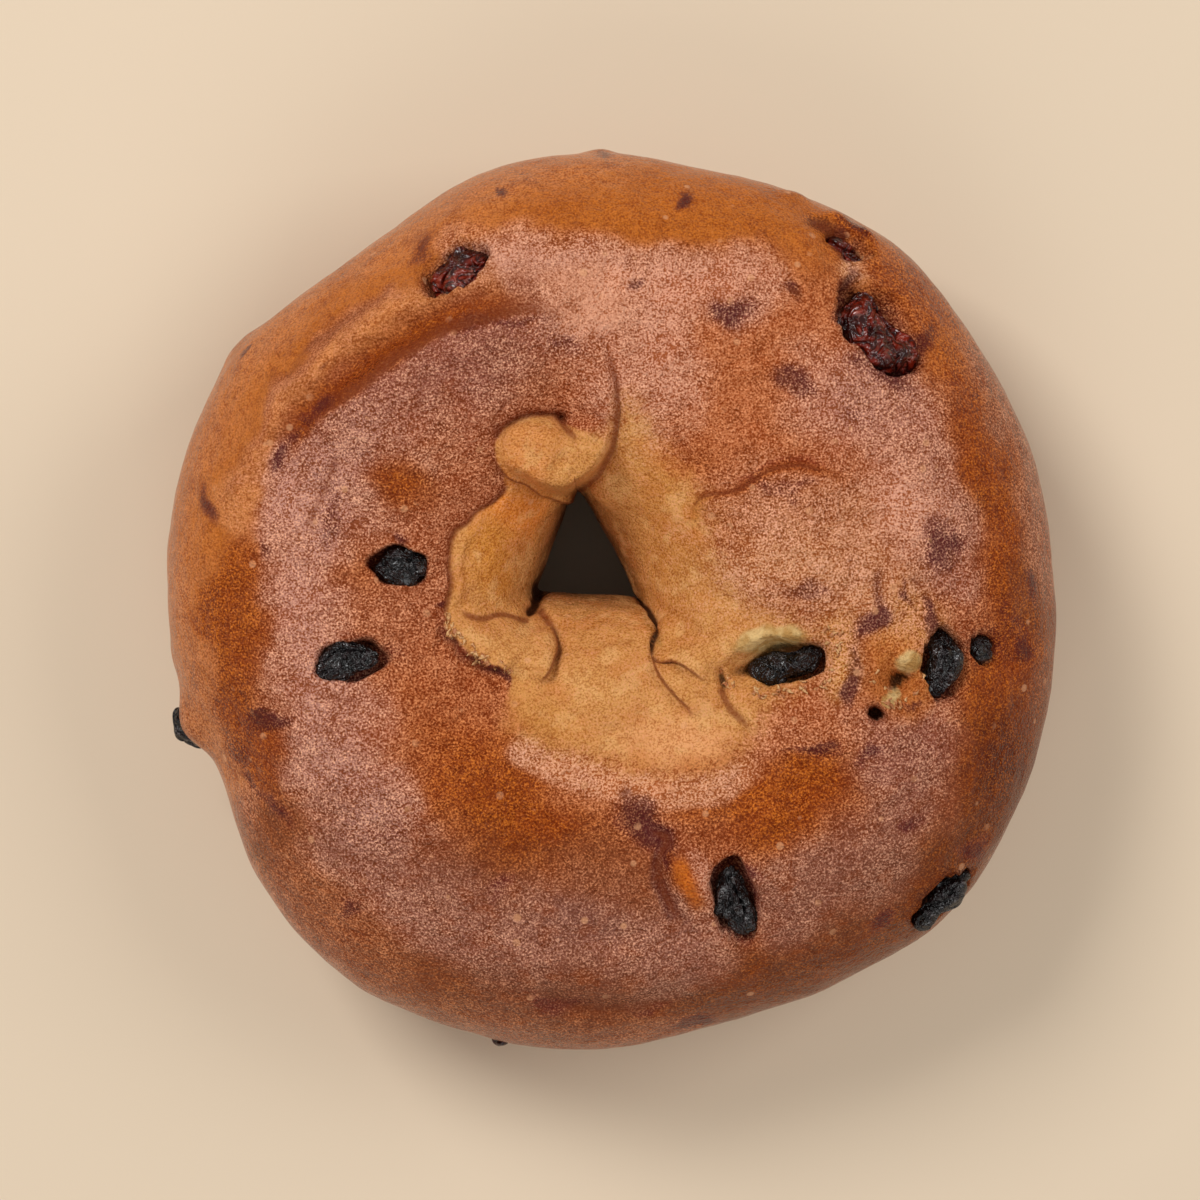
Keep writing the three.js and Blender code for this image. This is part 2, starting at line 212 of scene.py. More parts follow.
# Furrows (height below 0) and ridges along paths: height, width, and the share that fades at each end.
CREASES = {
    "seam": ([[-5.8, 12.6], [-5, 13.4], [-2.6, 14.9], [-0.5, 17.8], [0.1, 21.6], [0.2, 25.8], [-0.5, 30],
              [-1.8, 33.6]], -1.2, 0.55, (0, 0.3)),
    "knob crown crease": ([[-14.4, 18.6], [-13.8, 20.2], [-12.3, 21.4], [-10, 22.3], [-7.9, 22.4],
                           [-6.1, 21.8]], -1.1, 0.55, (0.15, 0)),
    "knob curl": ([[-6.3, 21.9], [-5.6, 20.7], [-4.6, 19.5], [-2.9, 18.3]], -0.7, 0.6, (0, 0.5)),
    "knob branch": ([[-6.1, 21.9], [-4.9, 22.1], [-3.4, 21.3]], -0.3, 0.45, (0, 0.5)),
    "rope end's old edge": ([[-14.4, 19.4], [-14.1, 21.6], [-12.8, 23.6], [-10.8, 24.6], [-8.6, 24.4]],
                            -0.3, 0.5, (0.2, 0.5)),
    "lip line": ([[-12.2, 14.9], [-13.4, 13], [-16.7, 10.3], [-19.1, 7.9], [-19.8, 4.8], [-19.5, 1.6],
                  [-20.2, -1.2]], -0.6, 0.5, (0.2, 0)),
    "lip ridge": ([[-15.2, 10.2], [-17.5, 8], [-18.6, 4.8], [-18.3, 1.6], [-18.8, -0.8]], 0.5, 0.6,
                  (0.3, 0.2)),
    "flap's upper crease": ([[-19.8, 0], [-16.6, -2.3], [-13.6, -1.8], [-11.1, -2.3], [-9.2, -2.3]],
                            -0.6, 0.6, (0.2, 0.2)),
    "tongue's left crease": ([[-8.8, -1], [-7.4, -3.6], [-6.9, -6.6], [-8.4, -10.2]], -1.5, 0.7, (0, 0.35)),
    "hole's left corner": ([[-8.9, 1.6], [-9.7, -0.4], [-10.6, -2.4]], -3.6, 0.8, (0, 0.35)),
    "tongue's right crevice": ([[3, 0.5], [4.4, -0.8], [5.4, -2.8], [5.6, -4.2], [5.2, -5.6], [5.6, -7],
                                [7.4, -7.3], [9, -8.1]], -2.2, 0.5, (0, 0.5)),
    "right fold": ([[12.6, -10.1], [14.1, -13.1], [16, -15.3], [18.3, -19.1]], -0.6, 0.6, (0.1, 0.5)),
    "tongue's ragged lip": ([[-8.2, -2.4], [-5, -1.2], [-1.2, -1], [2.4, -1.8]], 0.5, 0.8, (0.2, 0.2)),
    "crag's hollow": ([[23, 47], [25.2, 46.1], [28.2, 44.8], [31.7, 42.2]], -1.3, 0.9, (0.3, 0.3)),
    "tongue wrinkle": ([[-5.4, -4.4], [-1.8, -5.6], [2, -5.2], [4.4, -5.6]], -0.22, 0.6, (0.4, 0.3)),
    "rim gully": ([[-43.4, 12], [-41, 17.6], [-37.6, 22.8], [-32.2, 27.6], [-26.6, 31.2], [-18.9, 34.4],
                   [-11.8, 35.5]], -0.9, 2.6, (0.3, 0.4)),
    "rim ridge": ([[-45.9, 9], [-44, 15.6], [-40.9, 21.6], [-35.3, 28.5], [-30, 32.5], [-23.6, 36],
                   [-15.8, 37.7], [-8, 37.6], [-2, 35.8]], 1.2, 1.9, (0.3, 0.35)),
    "outer wrinkle": ([[-43.5, 19.6], [-39.6, 26.6], [-36.8, 30.4], [-32.4, 33.9], [-27.8, 36.6],
                       [-24.6, 38.2]], -0.5, 0.8, (0.3, 0.3)),
    "second outer wrinkle": ([[-47.6, 12], [-45.2, 20], [-41.6, 27], [-37, 32.6]], -0.35, 0.9, (0.3, 0.3)),
    "left arc": ([[-32.4, 19.2], [-33.7, 15.7], [-35.2, 12.4], [-36.6, 9], [-35.6, 5]], -0.55, 0.8,
                 (0.2, 0.3)),
    "bottom blister's foot": ([[-10.1, -47.2], [-5.8, -49.1], [-1, -49.9], [4.5, -49.4], [9.3, -47.3]],
                              -0.8, 1.1, (0.3, 0.3)),
    "amber furrow": ([[2.5, -24.5], [4.6, -27.5], [6.4, -29], [5.2, -32.2], [6.2, -35.5], [8.2, -38.6],
                      [12, -40.4]], -0.9, 0.8, (0.3, 0.3)),
    "slit": ([[20.2, 39], [22, 37.2], [23.2, 35.6]], -0.7, 0.5, (0.3, 0.3)),
    "crater's crack": ([[35.4, 3.2], [36.4, 2.2], [38.2, 1.4]], -0.4, 0.35, (0.3, 0.3)),
    "small right crack": ([[33.4, 9.4], [34.6, 6.8], [35.2, 4]], -0.2, 0.6, (0.3, 0.3)),
}

# Ledges along paths, whose left side stands over the right: height, how far the rise reaches back,
# the width of its face, how far it leans over the low side, and the share that fades at each end.
LEDGES = {
    "rope end over the right lobe": (
        [[-5.8, 12.6], [-5, 13.4], [-2.6, 14.9], [-0.5, 17.8], [0.1, 21.6], [0.2, 25.8], [-0.5, 30],
         [-1.8, 33.6]], 1.3, 4.5, 0.7, 0.45, (0, 0.45)),
    "knob over the left roll": (
        [[-14.2, 18.3], [-13.6, 16.6], [-12.3, 15.2], [-10.5, 14.4], [-9, 13.4], [-6.6, 12.8], [-5.2, 13]],
        0.9, 2.2, 0.7, 0.5, (0.2, 0)),
    "flap's torn edge": (
        [[-20.6, -0.6], [-19.8, -3.6], [-18.6, -4.6], [-17.6, -6.2], [-16.2, -6.6], [-15.4, -7.8],
         [-13.8, -7.8], [-12.4, -9]], 1.1, 2.6, 0.45, 0.5, (0.15, 0.1)),
    "flap's right end": (
        [[-9.6, -10.6], [-8.3, -8.8], [-7.4, -6.7], [-7.3, -4.8], [-8.2, -3]], 1.4, 2.2, 0.7, 0.5,
        (0.3, 0.1)),
    "bare skin's edge": ([[-12.4, -9], [-12.2, -11.6], [-12.9, -14.6]], 0.3, 1.5, 0.4, 0, (0, 0.5)),
    "right roll over the tongue": (
        [[2.8, 0.3], [4.2, -0.4], [5.2, -2.6], [5.8, -3.6], [5.1, -4.9], [5.5, -6.9], [7.4, -7.1],
         [8.9, -7.8], [10.7, -9.3], [12.6, -10.1]], 1.7, 2.6, 0.6, 0.5, (0, 0.2)),
    "small roll over the tongue": (
        [[5.1, -6.9], [5.9, -8.9], [7.4, -10.8], [9.6, -13.4], [10.7, -15.3]], 0.9, 1.8, 0.6, 0.3,
        (0, 0.45)),
    "right blister's rim": (
        [[29.1, 13.1], [27, 14.7], [24.4, 15.5], [22.3, 16.1], [19.2, 15.5], [16.5, 13.9], [13.9, 12.8],
         [11.3, 12.5], [10.2, 11.4], [9.9, 9.2], [10.4, 6]], 0.9, 4.0, 0.6, 0, (0.3, 0.35)),
    "plum lobe over the gully": (
        [[-3.6, 31.6], [-5.6, 33.2], [-8.7, 34.1], [-13, 33.7], [-18.9, 32.1], [-23.5, 29.9], [-26.9, 27.8],
         [-30.3, 25], [-33.4, 22.9], [-36.5, 20], [-38.8, 16.6], [-40.4, 13]], 1.5, 5.5, 3.2, 0,
        (0.3, 0.4)),
}

# Lumps that stand out of the ring's side: middle, reach and height.
LUMPS = [
    ([-51.6, -14.6, 18], 4.2, 1.3),
    ([-54.2, -6.4, 16], 2.6, 0.5),
    ([-1.6, 55.4, 17], 2.2, 0.7),
    ([-46.4, 31.2, 17], 3.4, 0.6),
    ([-2.2, 12.2, 29], 2.4, 1.9),
    ([-51, -15.5, 20], 3.2, 1.0),
    ([22.5, 49.5, 24], 2.0, 0.7),
    ([27.4, 47, 25], 1.7, 0.9),
    ([31, 44.8, 25], 1.6, 0.6),
]

# Fine unevenness of the top and of the side: height, size of its lumps and seed.
TOP_UNEVENNESS = [(0.3, 7, 11), (0.12, 2.6, 5)]
SIDE_UNEVENNESS = [(0.15, 9, 17), (0.05, 2.5, 23)]
WANDER, WANDER_SIZE = 0.35, 2.2  # how far a dome's edge strays from its oval, and the size of its bends
PATH_WANDER = 0.4  # how much of that a path strays
LIP_REACH = 0.9  # how far back from a ledge's edge its lean reaches

normal = grid_normals(skin)
x, y, z = np.moveaxis(skin, 2, 0)
top = smooth_step(z, WAIST_HEIGHT - 3, WAIST_HEIGHT + 6)
wander_x = WANDER * unevenness(skin, WANDER_SIZE, 3)
wander_y = WANDER * unevenness(skin, WANDER_SIZE, 8)
path_x, path_y = x + PATH_WANDER * wander_x, y + PATH_WANDER * wander_y
height = np.zeros(x.shape)
# The fold mask marks painted shade in the furrows and on the low side under each ledge.
fold = np.zeros(x.shape)
# The crevice mask marks the deepest furrows, painted very dark as shade.
crevice = np.zeros(x.shape)
for swell, across_x, across_y, start in SWELLS:
    height += swell * np.sin(across_x * x + across_y * y + start)
for at, half, turned, rise, roundness in DOMES.values():
    height += rise * np.maximum(0, 1 - oval(x + wander_x, y + wander_y, at, half, turned) ** 2) ** roundness
for along_points, rise, width, fade in CREASES.values():
    distance, _, along, _ = follow(along_points, path_x, path_y, 4 * width)
    line = np.exp(-((distance / width) ** 2)) * fading(along, fade)
    height += rise * line
    fold = np.maximum(fold, line ** 1.5 * min(1, max(0, -rise / width)))
    crevice = np.maximum(crevice, line ** 1.5 * smooth_step(-rise, 1.3, 2.4))
push = np.zeros(skin.shape)
for along_points, rise, back, face, lean, fade in LEDGES.values():
    distance, side, along, heading = follow(along_points, path_x, path_y, 3 * back)
    high_side = np.where(side > 0, np.exp(-((distance / back) ** 2)), smooth_step(-distance, -face, 0))
    height += rise * high_side * fading(along, fade)
    near_edge = np.where(side > 0, np.exp(-((distance / LIP_REACH) ** 2)), high_side)
    near_edge = near_edge * fading(along, fade) * lean
    push[..., 0] += near_edge * np.sin(heading)
    push[..., 1] -= near_edge * np.cos(heading)
    shade_reach = 0.5 * face + 0.3
    below = np.where(side > 0, smooth_step(-distance, -0.25, 0), np.exp(-((distance / shade_reach) ** 2)))
    fold = np.maximum(fold, below * fading(along, fade) * min(1, rise))
height += sum(rise * unevenness(skin, size, seed) for rise, size, seed in TOP_UNEVENNESS)
# The top is pushed nearly straight up, so a fold stays where it is drawn.
lift = normal * (1 - 0.75 * top[..., None] * [1, 1, 0])
swelling = sum(rise * unevenness(skin, size, seed) for rise, size, seed in SIDE_UNEVENNESS) * (1 - top)
for at, reach_out, rise in LUMPS:
    swelling += rise * np.exp(-((np.linalg.norm(skin - at, axis=2) / reach_out) ** 2))
skin = skin + lift * (height * top)[..., None] + normal * swelling[..., None] + push * top[..., None]

# The rope's end is folded into a round knob that hides the corner of the hole below it.
KNOB_EDGE = [
    [-14.4, 18.6], [-13.8, 16.8], [-12.5, 15.4], [-10.6, 14.6], [-9, 13.5], [-6.6, 12.9], [-5, 13.3],
    [-2.7, 14.9], [-0.6, 17.8], [0, 21.6], [-2.4, 24], [-7, 23.6], [-11.6, 22.4],
]
KNOB_MIDDLE, KNOB_HALF, KNOB_TOP, KNOB_RISE = [-7.0, 18.6], [9.2, 7.4], 37.2, 4.6


def inside_distance(edge, x, y):
    """The distance inside a closed path, below 0 outside it."""
    line = smooth_path(np.array([*edge, edge[0]], float), steps=4)
    crossings = np.zeros(x.shape, bool)
    for (ax, ay), (bx, by) in zip(line[:-1], line[1:]):
        if ay == by:
            continue
        crosses = ((ay > y) != (by > y)) & (x < (bx - ax) * (y - ay) / (by - ay) + ax)
        crossings ^= crosses
    distance = follow([*edge, edge[0]], x, y, 8)[0]
    return np.where(crossings, distance, -distance)


x, y, z = np.moveaxis(skin, 2, 0)
rounded = np.minimum(1, oval(x, y, KNOB_MIDDLE, KNOB_HALF, -14))
knob_height = KNOB_TOP - KNOB_RISE * (1 - np.sqrt(1 - rounded ** 2))
knob_height += 0.25 * unevenness(skin, 3, 51)
for name in ("knob crown crease", "knob curl", "knob branch"):
    along_points, rise, width, fade = CREASES[name]
    distance, _, along, _ = follow(along_points, x, y, 4 * width)
    knob_height += rise * np.exp(-((distance / width) ** 2)) * fading(along, fade)
knob = smooth_step(inside_distance(KNOB_EDGE, x, y), -0.2, 0.7) * smooth_step(z, 18, 24)
knob *= 1 - smooth_step(y, 19.5, 23)
skin[..., 2] += (knob_height - z) * knob

# Each raisin lies in its own pocket, and the crust's edge round it is uneven.
RAISINS = [f"raisin_{i + 1}" for i in range(12)]
POCKET_DEPTH = 0.95  # how far the skin lies under a raisin's middle, as a share of its half height
ABOVE_ALL = 60  # a height above the whole bagel
pocket = np.full(x.shape, 9.0)
for index, name in enumerate(RAISINS):
    corners = np.array([v.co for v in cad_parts[name].data.vertices]) / MM
    middle = corners.mean(0)
    spread, axes = np.linalg.eigh(np.cov((corners - middle).T))
    half = np.sqrt(3 * spread)
    up_and_out = [middle[0], middle[1], ABOVE_ALL]
    out_axis = axes[:, 0] if np.dot(axes[:, 0], up_and_out) > 0 else -axes[:, 0]
    local = (skin - middle) @ axes / half
    round_it = np.arctan2(local[..., 1], local[..., 2])
    edge = 1 + 0.10 * np.sin(2 * round_it + index) + 0.07 * np.sin(5 * round_it + 3 * index)
    share = np.hypot(local[..., 1], local[..., 2]) / edge
    above = (skin - middle) @ out_axis
    share = np.where(above > -half[0] - 1, share, 9)
    pocket = np.minimum(pocket, share)
    sink = np.maximum(0, above + POCKET_DEPTH * half[0]) * smooth_step(-share, -1.14, -0.97)
    skin = skin - out_axis * sink[..., None]
skin[..., 2] = np.maximum(skin[..., 2], 0)


# What the oven and the raisins did to the crust, with painted sheen and painted shade in places, as colours
# washed over one another from named tints.
def tint(red, green, blue):
    """A colour as a picture file gives it, 0 to 255, in the linear light that Blender works in."""
    share = np.array([red, green, blue]) / 255
    return np.where(share <= 0.04045, share / 12.92, ((share + 0.055) / 1.055) ** 2.4)


GOLD, HONEY, PEACH = tint(184, 105, 38), tint(198, 124, 68), tint(204, 143, 98)
RUSSET, EMBER, AMBER = tint(146, 80, 46), tint(139, 60, 10), tint(156, 76, 26)
# Mauve and blush are painted sheen: a pinkish-white highlight of light on the glossy crust, painted into its
# colour.
PLUM, MAUVE_SHEEN, GREY_PLUM = tint(145, 84, 68), tint(170, 118, 102), tint(124, 74, 60)
ROSE, BLUSH_SHEEN, BRICK = tint(182, 109, 70), tint(212, 152, 124), tint(164, 94, 62)
CHESTNUT, UMBER, WINE = tint(108, 48, 22), tint(88, 22, 4), tint(102, 32, 34)
TAN, CREAM, BUTTER = tint(204, 145, 80), tint(210, 152, 88), tint(190, 122, 46)

# Bands along paths: tint, path, half width and strength.
BANDS = [
    (GOLD, [[-53, -2], [-51, 12], [-46, 25], [-38, 35], [-28, 42.5], [-15, 48], [0, 49.5], [14, 48.5],
            [26, 45]], 8, 1),
    (HONEY, [[-54, 2], [-52, 14], [-47, 27], [-38, 38], [-27, 45], [-14, 51], [0, 54]], 4, 0.7),
    (HONEY, [[-54, 4], [-52, -6], [-51, -15], [-47, -22]], 3.2, 0.9),
    (EMBER, [[-46, 2], [-46, -8], [-44, -16], [-41, -21]], 4, 0.8),
    # Painted sheen: pinkish light on the glossy crust down the left lobe.
    (tint(194, 140, 122), [[-38, 16], [-37, 8], [-37, 0], [-35, -10], [-33, -20], [-29, -25]], 4.5, 0.9),
    (EMBER, [[36, 40], [43, 28], [46, 18], [48, 8], [48.5, -4], [47, -16], [43, -26]], 4.5, 0.9),
    (CHESTNUT, [[54, -2], [54, -8], [52, -16]], 2.5, 0.6),
    (tint(160, 96, 64), [[44, 34], [48, 25], [52, 12], [53, 3]], 3, 0.8),
    (CHESTNUT, [[48, -22], [42, -32], [34, -40], [24, -45], [12, -49]], 5.5, 1),
    (RUSSET, [[10, -53], [0, -54.5], [-10, -54], [-20, -51.5], [-30, -46]], 3, 0.6),
    (RUSSET, [[-20, -49], [-30, -43], [-37, -35], [-42, -27]], 4, 0.8),
    (CHESTNUT, [[-22, -44], [-10, -48], [0, -49], [10, -47]], 4, 0.7),
    # Painted sheen, a pinkish-white highlight on the glossy crust, in this band and the next.
    (MAUVE_SHEEN, [[33, 26], [36, 18], [39, 10], [40, 4]], 4, 0.6),
    (BLUSH_SHEEN, [[-14, 39], [-6, 37], [0, 37], [8, 37], [14, 37]], 5.5, 1),
    (GREY_PLUM, [[36, -20], [33, -28], [27, -33], [20, -37]], 5, 0.8),
    (tint(144, 92, 76), [[-31, -27], [-24, -35], [-14, -39], [-2, -41], [8, -41]], 6, 0.85),
    (tint(206, 134, 78), [[-45.5, 10], [-44, 15.6], [-40.9, 21.6], [-35.3, 28.7], [-30, 32.7],
                          [-23.6, 36.2], [-15.8, 38]], 2.2, 0.9),
    # Painted sheen on the glossy crust.
    (MAUVE_SHEEN, [[-32, -16], [-30, -22], [-28, -26]], 3.5, 0.7),
    (BRICK, [[-43.5, 19.6], [-39.6, 26.6], [-36.8, 30.4], [-32.4, 33.9], [-27.8, 36.6]], 0.9, 0.7),
    (tint(136, 66, 60), [[32.6, 0.5], [31.6, -3], [30.4, -6], [28.6, -10.5], [27.6, -14]], 1.3, 0.8),
]

# Lines and one-sided bands along the folds, partly the crust's own colour and partly painted shade on a
# fold's low side:
# tint, path, how far each reaches to the path's left and right, strength, and the share that fades at each
# end.
EDGES = [
    (EMBER, LEDGES["plum lobe over the gully"][0], 0.35, 6.0, 0.95, (0.35, 0.2)),
    (PLUM, LEDGES["plum lobe over the gully"][0], 3.5, 0.35, 0.5, (0.3, 0.3)),
    (tint(146, 62, 44), [[27, 14.6], [24.4, 15.6], [22.3, 16.2], [19.2, 15.6], [16.5, 14], [13.9, 12.9]],
     0.7, 1.6, 1, (0.3, 0.2)),
    (tint(160, 84, 44), LEDGES["right blister's rim"][0], 0.8, 1.0, 0.8, (0.2, 0.1)),
    (WINE, LEDGES["flap's torn edge"][0], 0.2, 1.8, 0.8, (0.2, 0.1)),
    (tint(74, 26, 34), CREASES["amber furrow"][0], 0.9, 1.3, 0.95, (0.2, 0.3)),
    (tint(222, 158, 114), [[-13, -17], [-8, -19.6], [-2, -21.6], [5, -23], [12, -22.6], [18, -19]], 2.6,
     2.6, 0.8, (0.1, 0.1)),
    (tint(96, 38, 24), CREASES["crag's hollow"][0], 1.2, 1.4, 0.9, (0.2, 0.2)),
]

# Spots seen from above: tint, middle, half sizes, turn and strength.
SPOTS = [
    (PLUM, [-19, 27], [16, 7.5], 33, 1),
    # Painted sheen, a pinkish-white highlight on the glossy crust.
    (MAUVE_SHEEN, [-31, 17], [8, 7.5], 0, 0.8),
    (BRICK, [-21, 17], [9, 7], 30, 0.6),
    (EMBER, [-26, 14], [4.5, 3.4], 0, 0.85),
    (EMBER, [-31, 3], [3.5, 2.2], 0, 0.6),
    (BRICK, [-25, -3], [11, 8], 0, 0.8),
    (tint(172, 94, 54), [-21, -14], [12, 8], 0, 0.75),
    (AMBER, [-17, -21], [9, 5.5], 0, 0.7),
    # Painted sheen, a pinkish-white highlight on the glossy crust.
    (MAUVE_SHEEN, [-34, -15], [6, 7], 0, 0.6),
    (EMBER, [-10, -26], [11, 6], 0, 0.9),
    (tint(186, 112, 68), [1, -22.4], [7, 3.4], 0, 0.8),
    (CHESTNUT, [-14, -32], [8, 5], 0, 0.6),
    (CHESTNUT, [0, -33], [8, 5], 0, 0.6),
    (EMBER, [20, -25], [9, 5], 15, 0.9),
    (AMBER, [15, -22.4], [9, 3.4], 0, 0.8),
    (EMBER, [25, -20.6], [6, 3.4], 10, 0.8),
    (ROSE, [22, -14.5], [9, 3.6], 0, 0.8),
    (PLUM, [36, -18], [6, 6], 0, 0.8),
    (tint(186, 108, 66), [18, 26], [20, 13], 15, 0.95),
    # Painted sheen, a pinkish-white highlight on the glossy crust.
    (BLUSH_SHEEN, [4, 27], [6, 9], 0, 0.6),
    (AMBER, [8.5, 18.5], [4.5, 3.5], -50, 0.4),
    (GREY_PLUM, [-6, -45.6], [9, 3.4], 0, 0.7),
    # Painted sheen, a pinkish-white highlight on the glossy crust.
    (BLUSH_SHEEN, [34.5, 10.5], [5, 5.6], 0, 0.95),
    (PEACH, [20, 5], [12, 9], 0, 0.95),
    (AMBER, [13.5, 9], [5, 4], 0, 0.35),
    (BRICK, [22, -0.5], [5, 3], 0, 0.6),
    (PEACH, [28, 1], [7, 4], 0, 0.7),
    # Painted sheen, a pinkish-white highlight on the glossy crust.
    (MAUVE_SHEEN, [30, 25], [8, 6.5], 0, 0.8),
    (PLUM, [15, 35], [3, 2.2], 0, 0.8),
    (CREAM, [27, -7], [3.4, 4.4], 0, 1),
    (CREAM, [36, -4.5], [4, 6.5], 0, 0.9),
    (UMBER, [48, -20], [6, 6.5], 0, 1),
    (CHESTNUT, [50, 0], [3.4, 5], 0, 0.5),
    (CHESTNUT, [-5, -46.4], [8, 3], 0, 0.6),
    (tint(122, 74, 62), [-5, -38.4], [6, 2.6], 0, 0.8),
    (CHESTNUT, [-41, -28], [3, 4], 0, 0.6),
    # Painted sheen, a pinkish-white highlight on the glossy crust.
    (tint(224, 158, 124), [-3, 36], [7, 2.8], 10, 0.9),
    (GOLD, [38, 31], [5, 4], 0, 0.6),
    (tint(196, 104, 34), [8.9, -32.8], [3.6, 1.5], 118, 1),
    (tint(196, 130, 100), [11.8, -33.2], [3.6, 1.2], 112, 1),
    (AMBER, [28.5, 44.5], [4.5, 2.0], -50, 0.9),
    (tint(224, 164, 112), [28.8, 40.4], [2.2, 1.8], 0, 0.9),
    (tint(196, 124, 52), [29.8, 36.6], [1.2, 2.6], -20, 1),
    (tint(188, 112, 52), [34.2, -9.6], [3.6, 4.6], 0, 0.8),
]

# Dried juice under the skin, over and beside hidden raisins: middle, half sizes, turn and strength.
STAINS = [
    ([-39.5, 16.5], [2.0, 1.2], 50, 1), ([-35.5, 23.1], [1.6, 0.9], 40, 1),
    ([-48.4, 11.3], [2.8, 0.9], 100, 0.8), ([40.2, 5.8], [3.2, 1.9], 110, 0.9),
    ([31.0, -2.6], [3.2, 1.5], 80, 1), ([49.2, -4.9], [2.8, 1.2], 100, 0.9),
    ([51.2, 1.2], [1.2, 0.7], 90, 0.9), ([32.4, -37.9], [1.6, 1.0], 60, 0.9),
    ([35.5, -26.8], [1.9, 1.4], 20, 0.9), ([4.4, -26.6], [4.6, 2.8], -45, 1),
    ([17.6, -33.4], [2.6, 1.0], -40, 0.7), ([6.0, -30.6], [2.2, 0.8], -80, 0.8),
    ([-13.6, -34.2], [2.3, 1.2], 20, 0.6), ([14.4, 34.6], [2.2, 1.7], 60, 0.8),
    ([21.2, 27.0], [2.6, 1.5], -20, 0.7), ([3.2, 37.6], [1.7, 0.9], 10, 0.7),
    ([8.9, 49.0], [1.5, 0.7], -5, 1), ([-42.3, 6.3], [1.3, 0.6], 80, 0.7),
    ([-42.0, -14.7], [1.7, 1.2], 30, 1), ([22.4, 1.0], [2.5, 1.3], 10, 0.6),
    ([24.8, -18.0], [2.8, 0.8], 5, 1), ([32.0, -17.8], [2.0, 0.7], 15, 1), ([9.5, -53.1], [2.8, 0.8], 8, 1),
    ([-20.3, -1.2], [1.1, 0.7], 0, 1), ([-34.8, 9.5], [4.5, 1.3], 95, 0.5),
    ([20.7, 37.3], [1.5, 0.6], -45, 1), ([-11.9, 50.1], [1.2, 0.4], 0, 0.9),
    ([-44.5, -23.2], [2.4, 1.0], -60, 0.9), ([-41.0, -25.4], [2.0, 1.0], -55, 0.8),
    ([-32.3, 43.8], [1.4, 0.6], 35, 0.9), ([-45.4, 31.5], [1.2, 0.6], 50, 0.9),
    ([43.4, 25.6], [0.8, 0.7], 0, 0.8), ([-31.9, -38.2], [1.6, 0.7], -30, 0.7),
    ([42.9, -29.9], [2.6, 1.2], 50, 0.9), ([35.0, -12.0], [1.1, 0.6], 0, 0.8),
    ([28.5, 46.0], [2.4, 0.9], -35, 1), ([27.8, 42.4], [2.2, 0.8], -50, 0.8),
    ([-37.5, 19.5], [2.2, 0.8], 45, 0.7), ([28.6, -9.8], [1.2, 2.8], 5, 0.9),
    ([29.5, 22.5], [2.2, 1.3], -30, 0.4), ([-1.6, 54.9], [1.3, 0.6], 0, 0.7),
    ([-12.6, 33.1], [5.0, 0.8], 8, 0.7), ([-5.5, 32.0], [2.2, 1.2], -30, 0.5),
    ([-8.0, -48.2], [4.0, 0.7], -12, 0.6), ([5.0, -48.8], [3.0, 0.7], 8, 0.6),
    ([20.6, 14.6], [4.6, 0.7], 5, 0.5), ([-14.5, -8.9], [3.0, 0.7], -30, 1),
    ([-26.0, -27.5], [3.0, 1.2], 20, 0.3), ([45.4, -5.9], [2.6, 2.2], 0, 0.6),
    ([35.8, 28.4], [2.4, 3.4], -20, 0.7), ([29.6, 28.6], [2.6, 1.4], -40, 0.6),
    ([-22.5, 42.0], [3.0, 1.4], 30, 0.6), ([28.6, 39.0], [2.2, 0.8], 40, 0.8),
    ([36.8, 31.0], [1.8, 3.2], -25, 0.9), ([33.5, 26.6], [3, 1.6], -30, 0.8),
    ([19.0, 38.0], [0.6, 0.4], 0, 0.8), ([26.4, 44.6], [0.7, 1.3], 0, 0.9),
    ([27.0, 36.0], [0.8, 2.4], 10, 0.8), ([38.4, -2.6], [1.0, 2.6], -15, 0.9),
    ([35.6, 1.2], [0.7, 2.0], 0, 0.7), ([46.9, -1.8], [1.0, 1.8], 10, 0.6),
    ([30.8, 1.6], [1.2, 2.2], -10, 0.6), ([29.2, -8.2], [0.9, 2.0], 0, 0.6),
    ([38.8, -11.8], [1.0, 0.6], 0, 0.7), ([-34.6, 28.4], [1.6, 0.7], 40, 0.5),
    ([-2.0, 42.0], [1.2, 0.6], 0, 0.4), ([-28.6, -5.6], [3.2, 1.2], 0, 0.4),
    ([-25.2, 8.0], [1.0, 0.7], 0, 0.7), ([-45.2, -18.8], [1.4, 2.0], 20, 0.7),
]

# The bare dough round the hole, which the folds kept from browning.
BARE_EDGE = [
    [-14.4, 18.7], [-12.4, 21.4], [-8, 22.4], [-6.1, 21.4], [-3.6, 20.4], [-1.2, 20.2], [0.2, 22],
    [1.2, 24.4], [3.6, 22.6], [6.2, 18.1], [9.6, 14.4], [11.4, 10.9], [12.2, 5.6], [14, 1.8], [17, -0.6],
    [21.4, -2.6], [24, -5], [23, -9.6], [18.7, -12.6], [16.9, -16.5], [11.5, -20.5], [3.8, -20.8],
    [-4, -18.8], [-10, -16.9], [-12.7, -14.4], [-12.2, -9.2], [-15.2, -7.7], [-17.4, -6.3], [-19.6, -3.9],
    [-20.4, -1.2], [-19.7, 1.6], [-19.9, 4.8], [-19.2, 7.9], [-16.7, 10.4], [-13.2, 13.2], [-13.4, 15.6],
    [-14.2, 17],
]
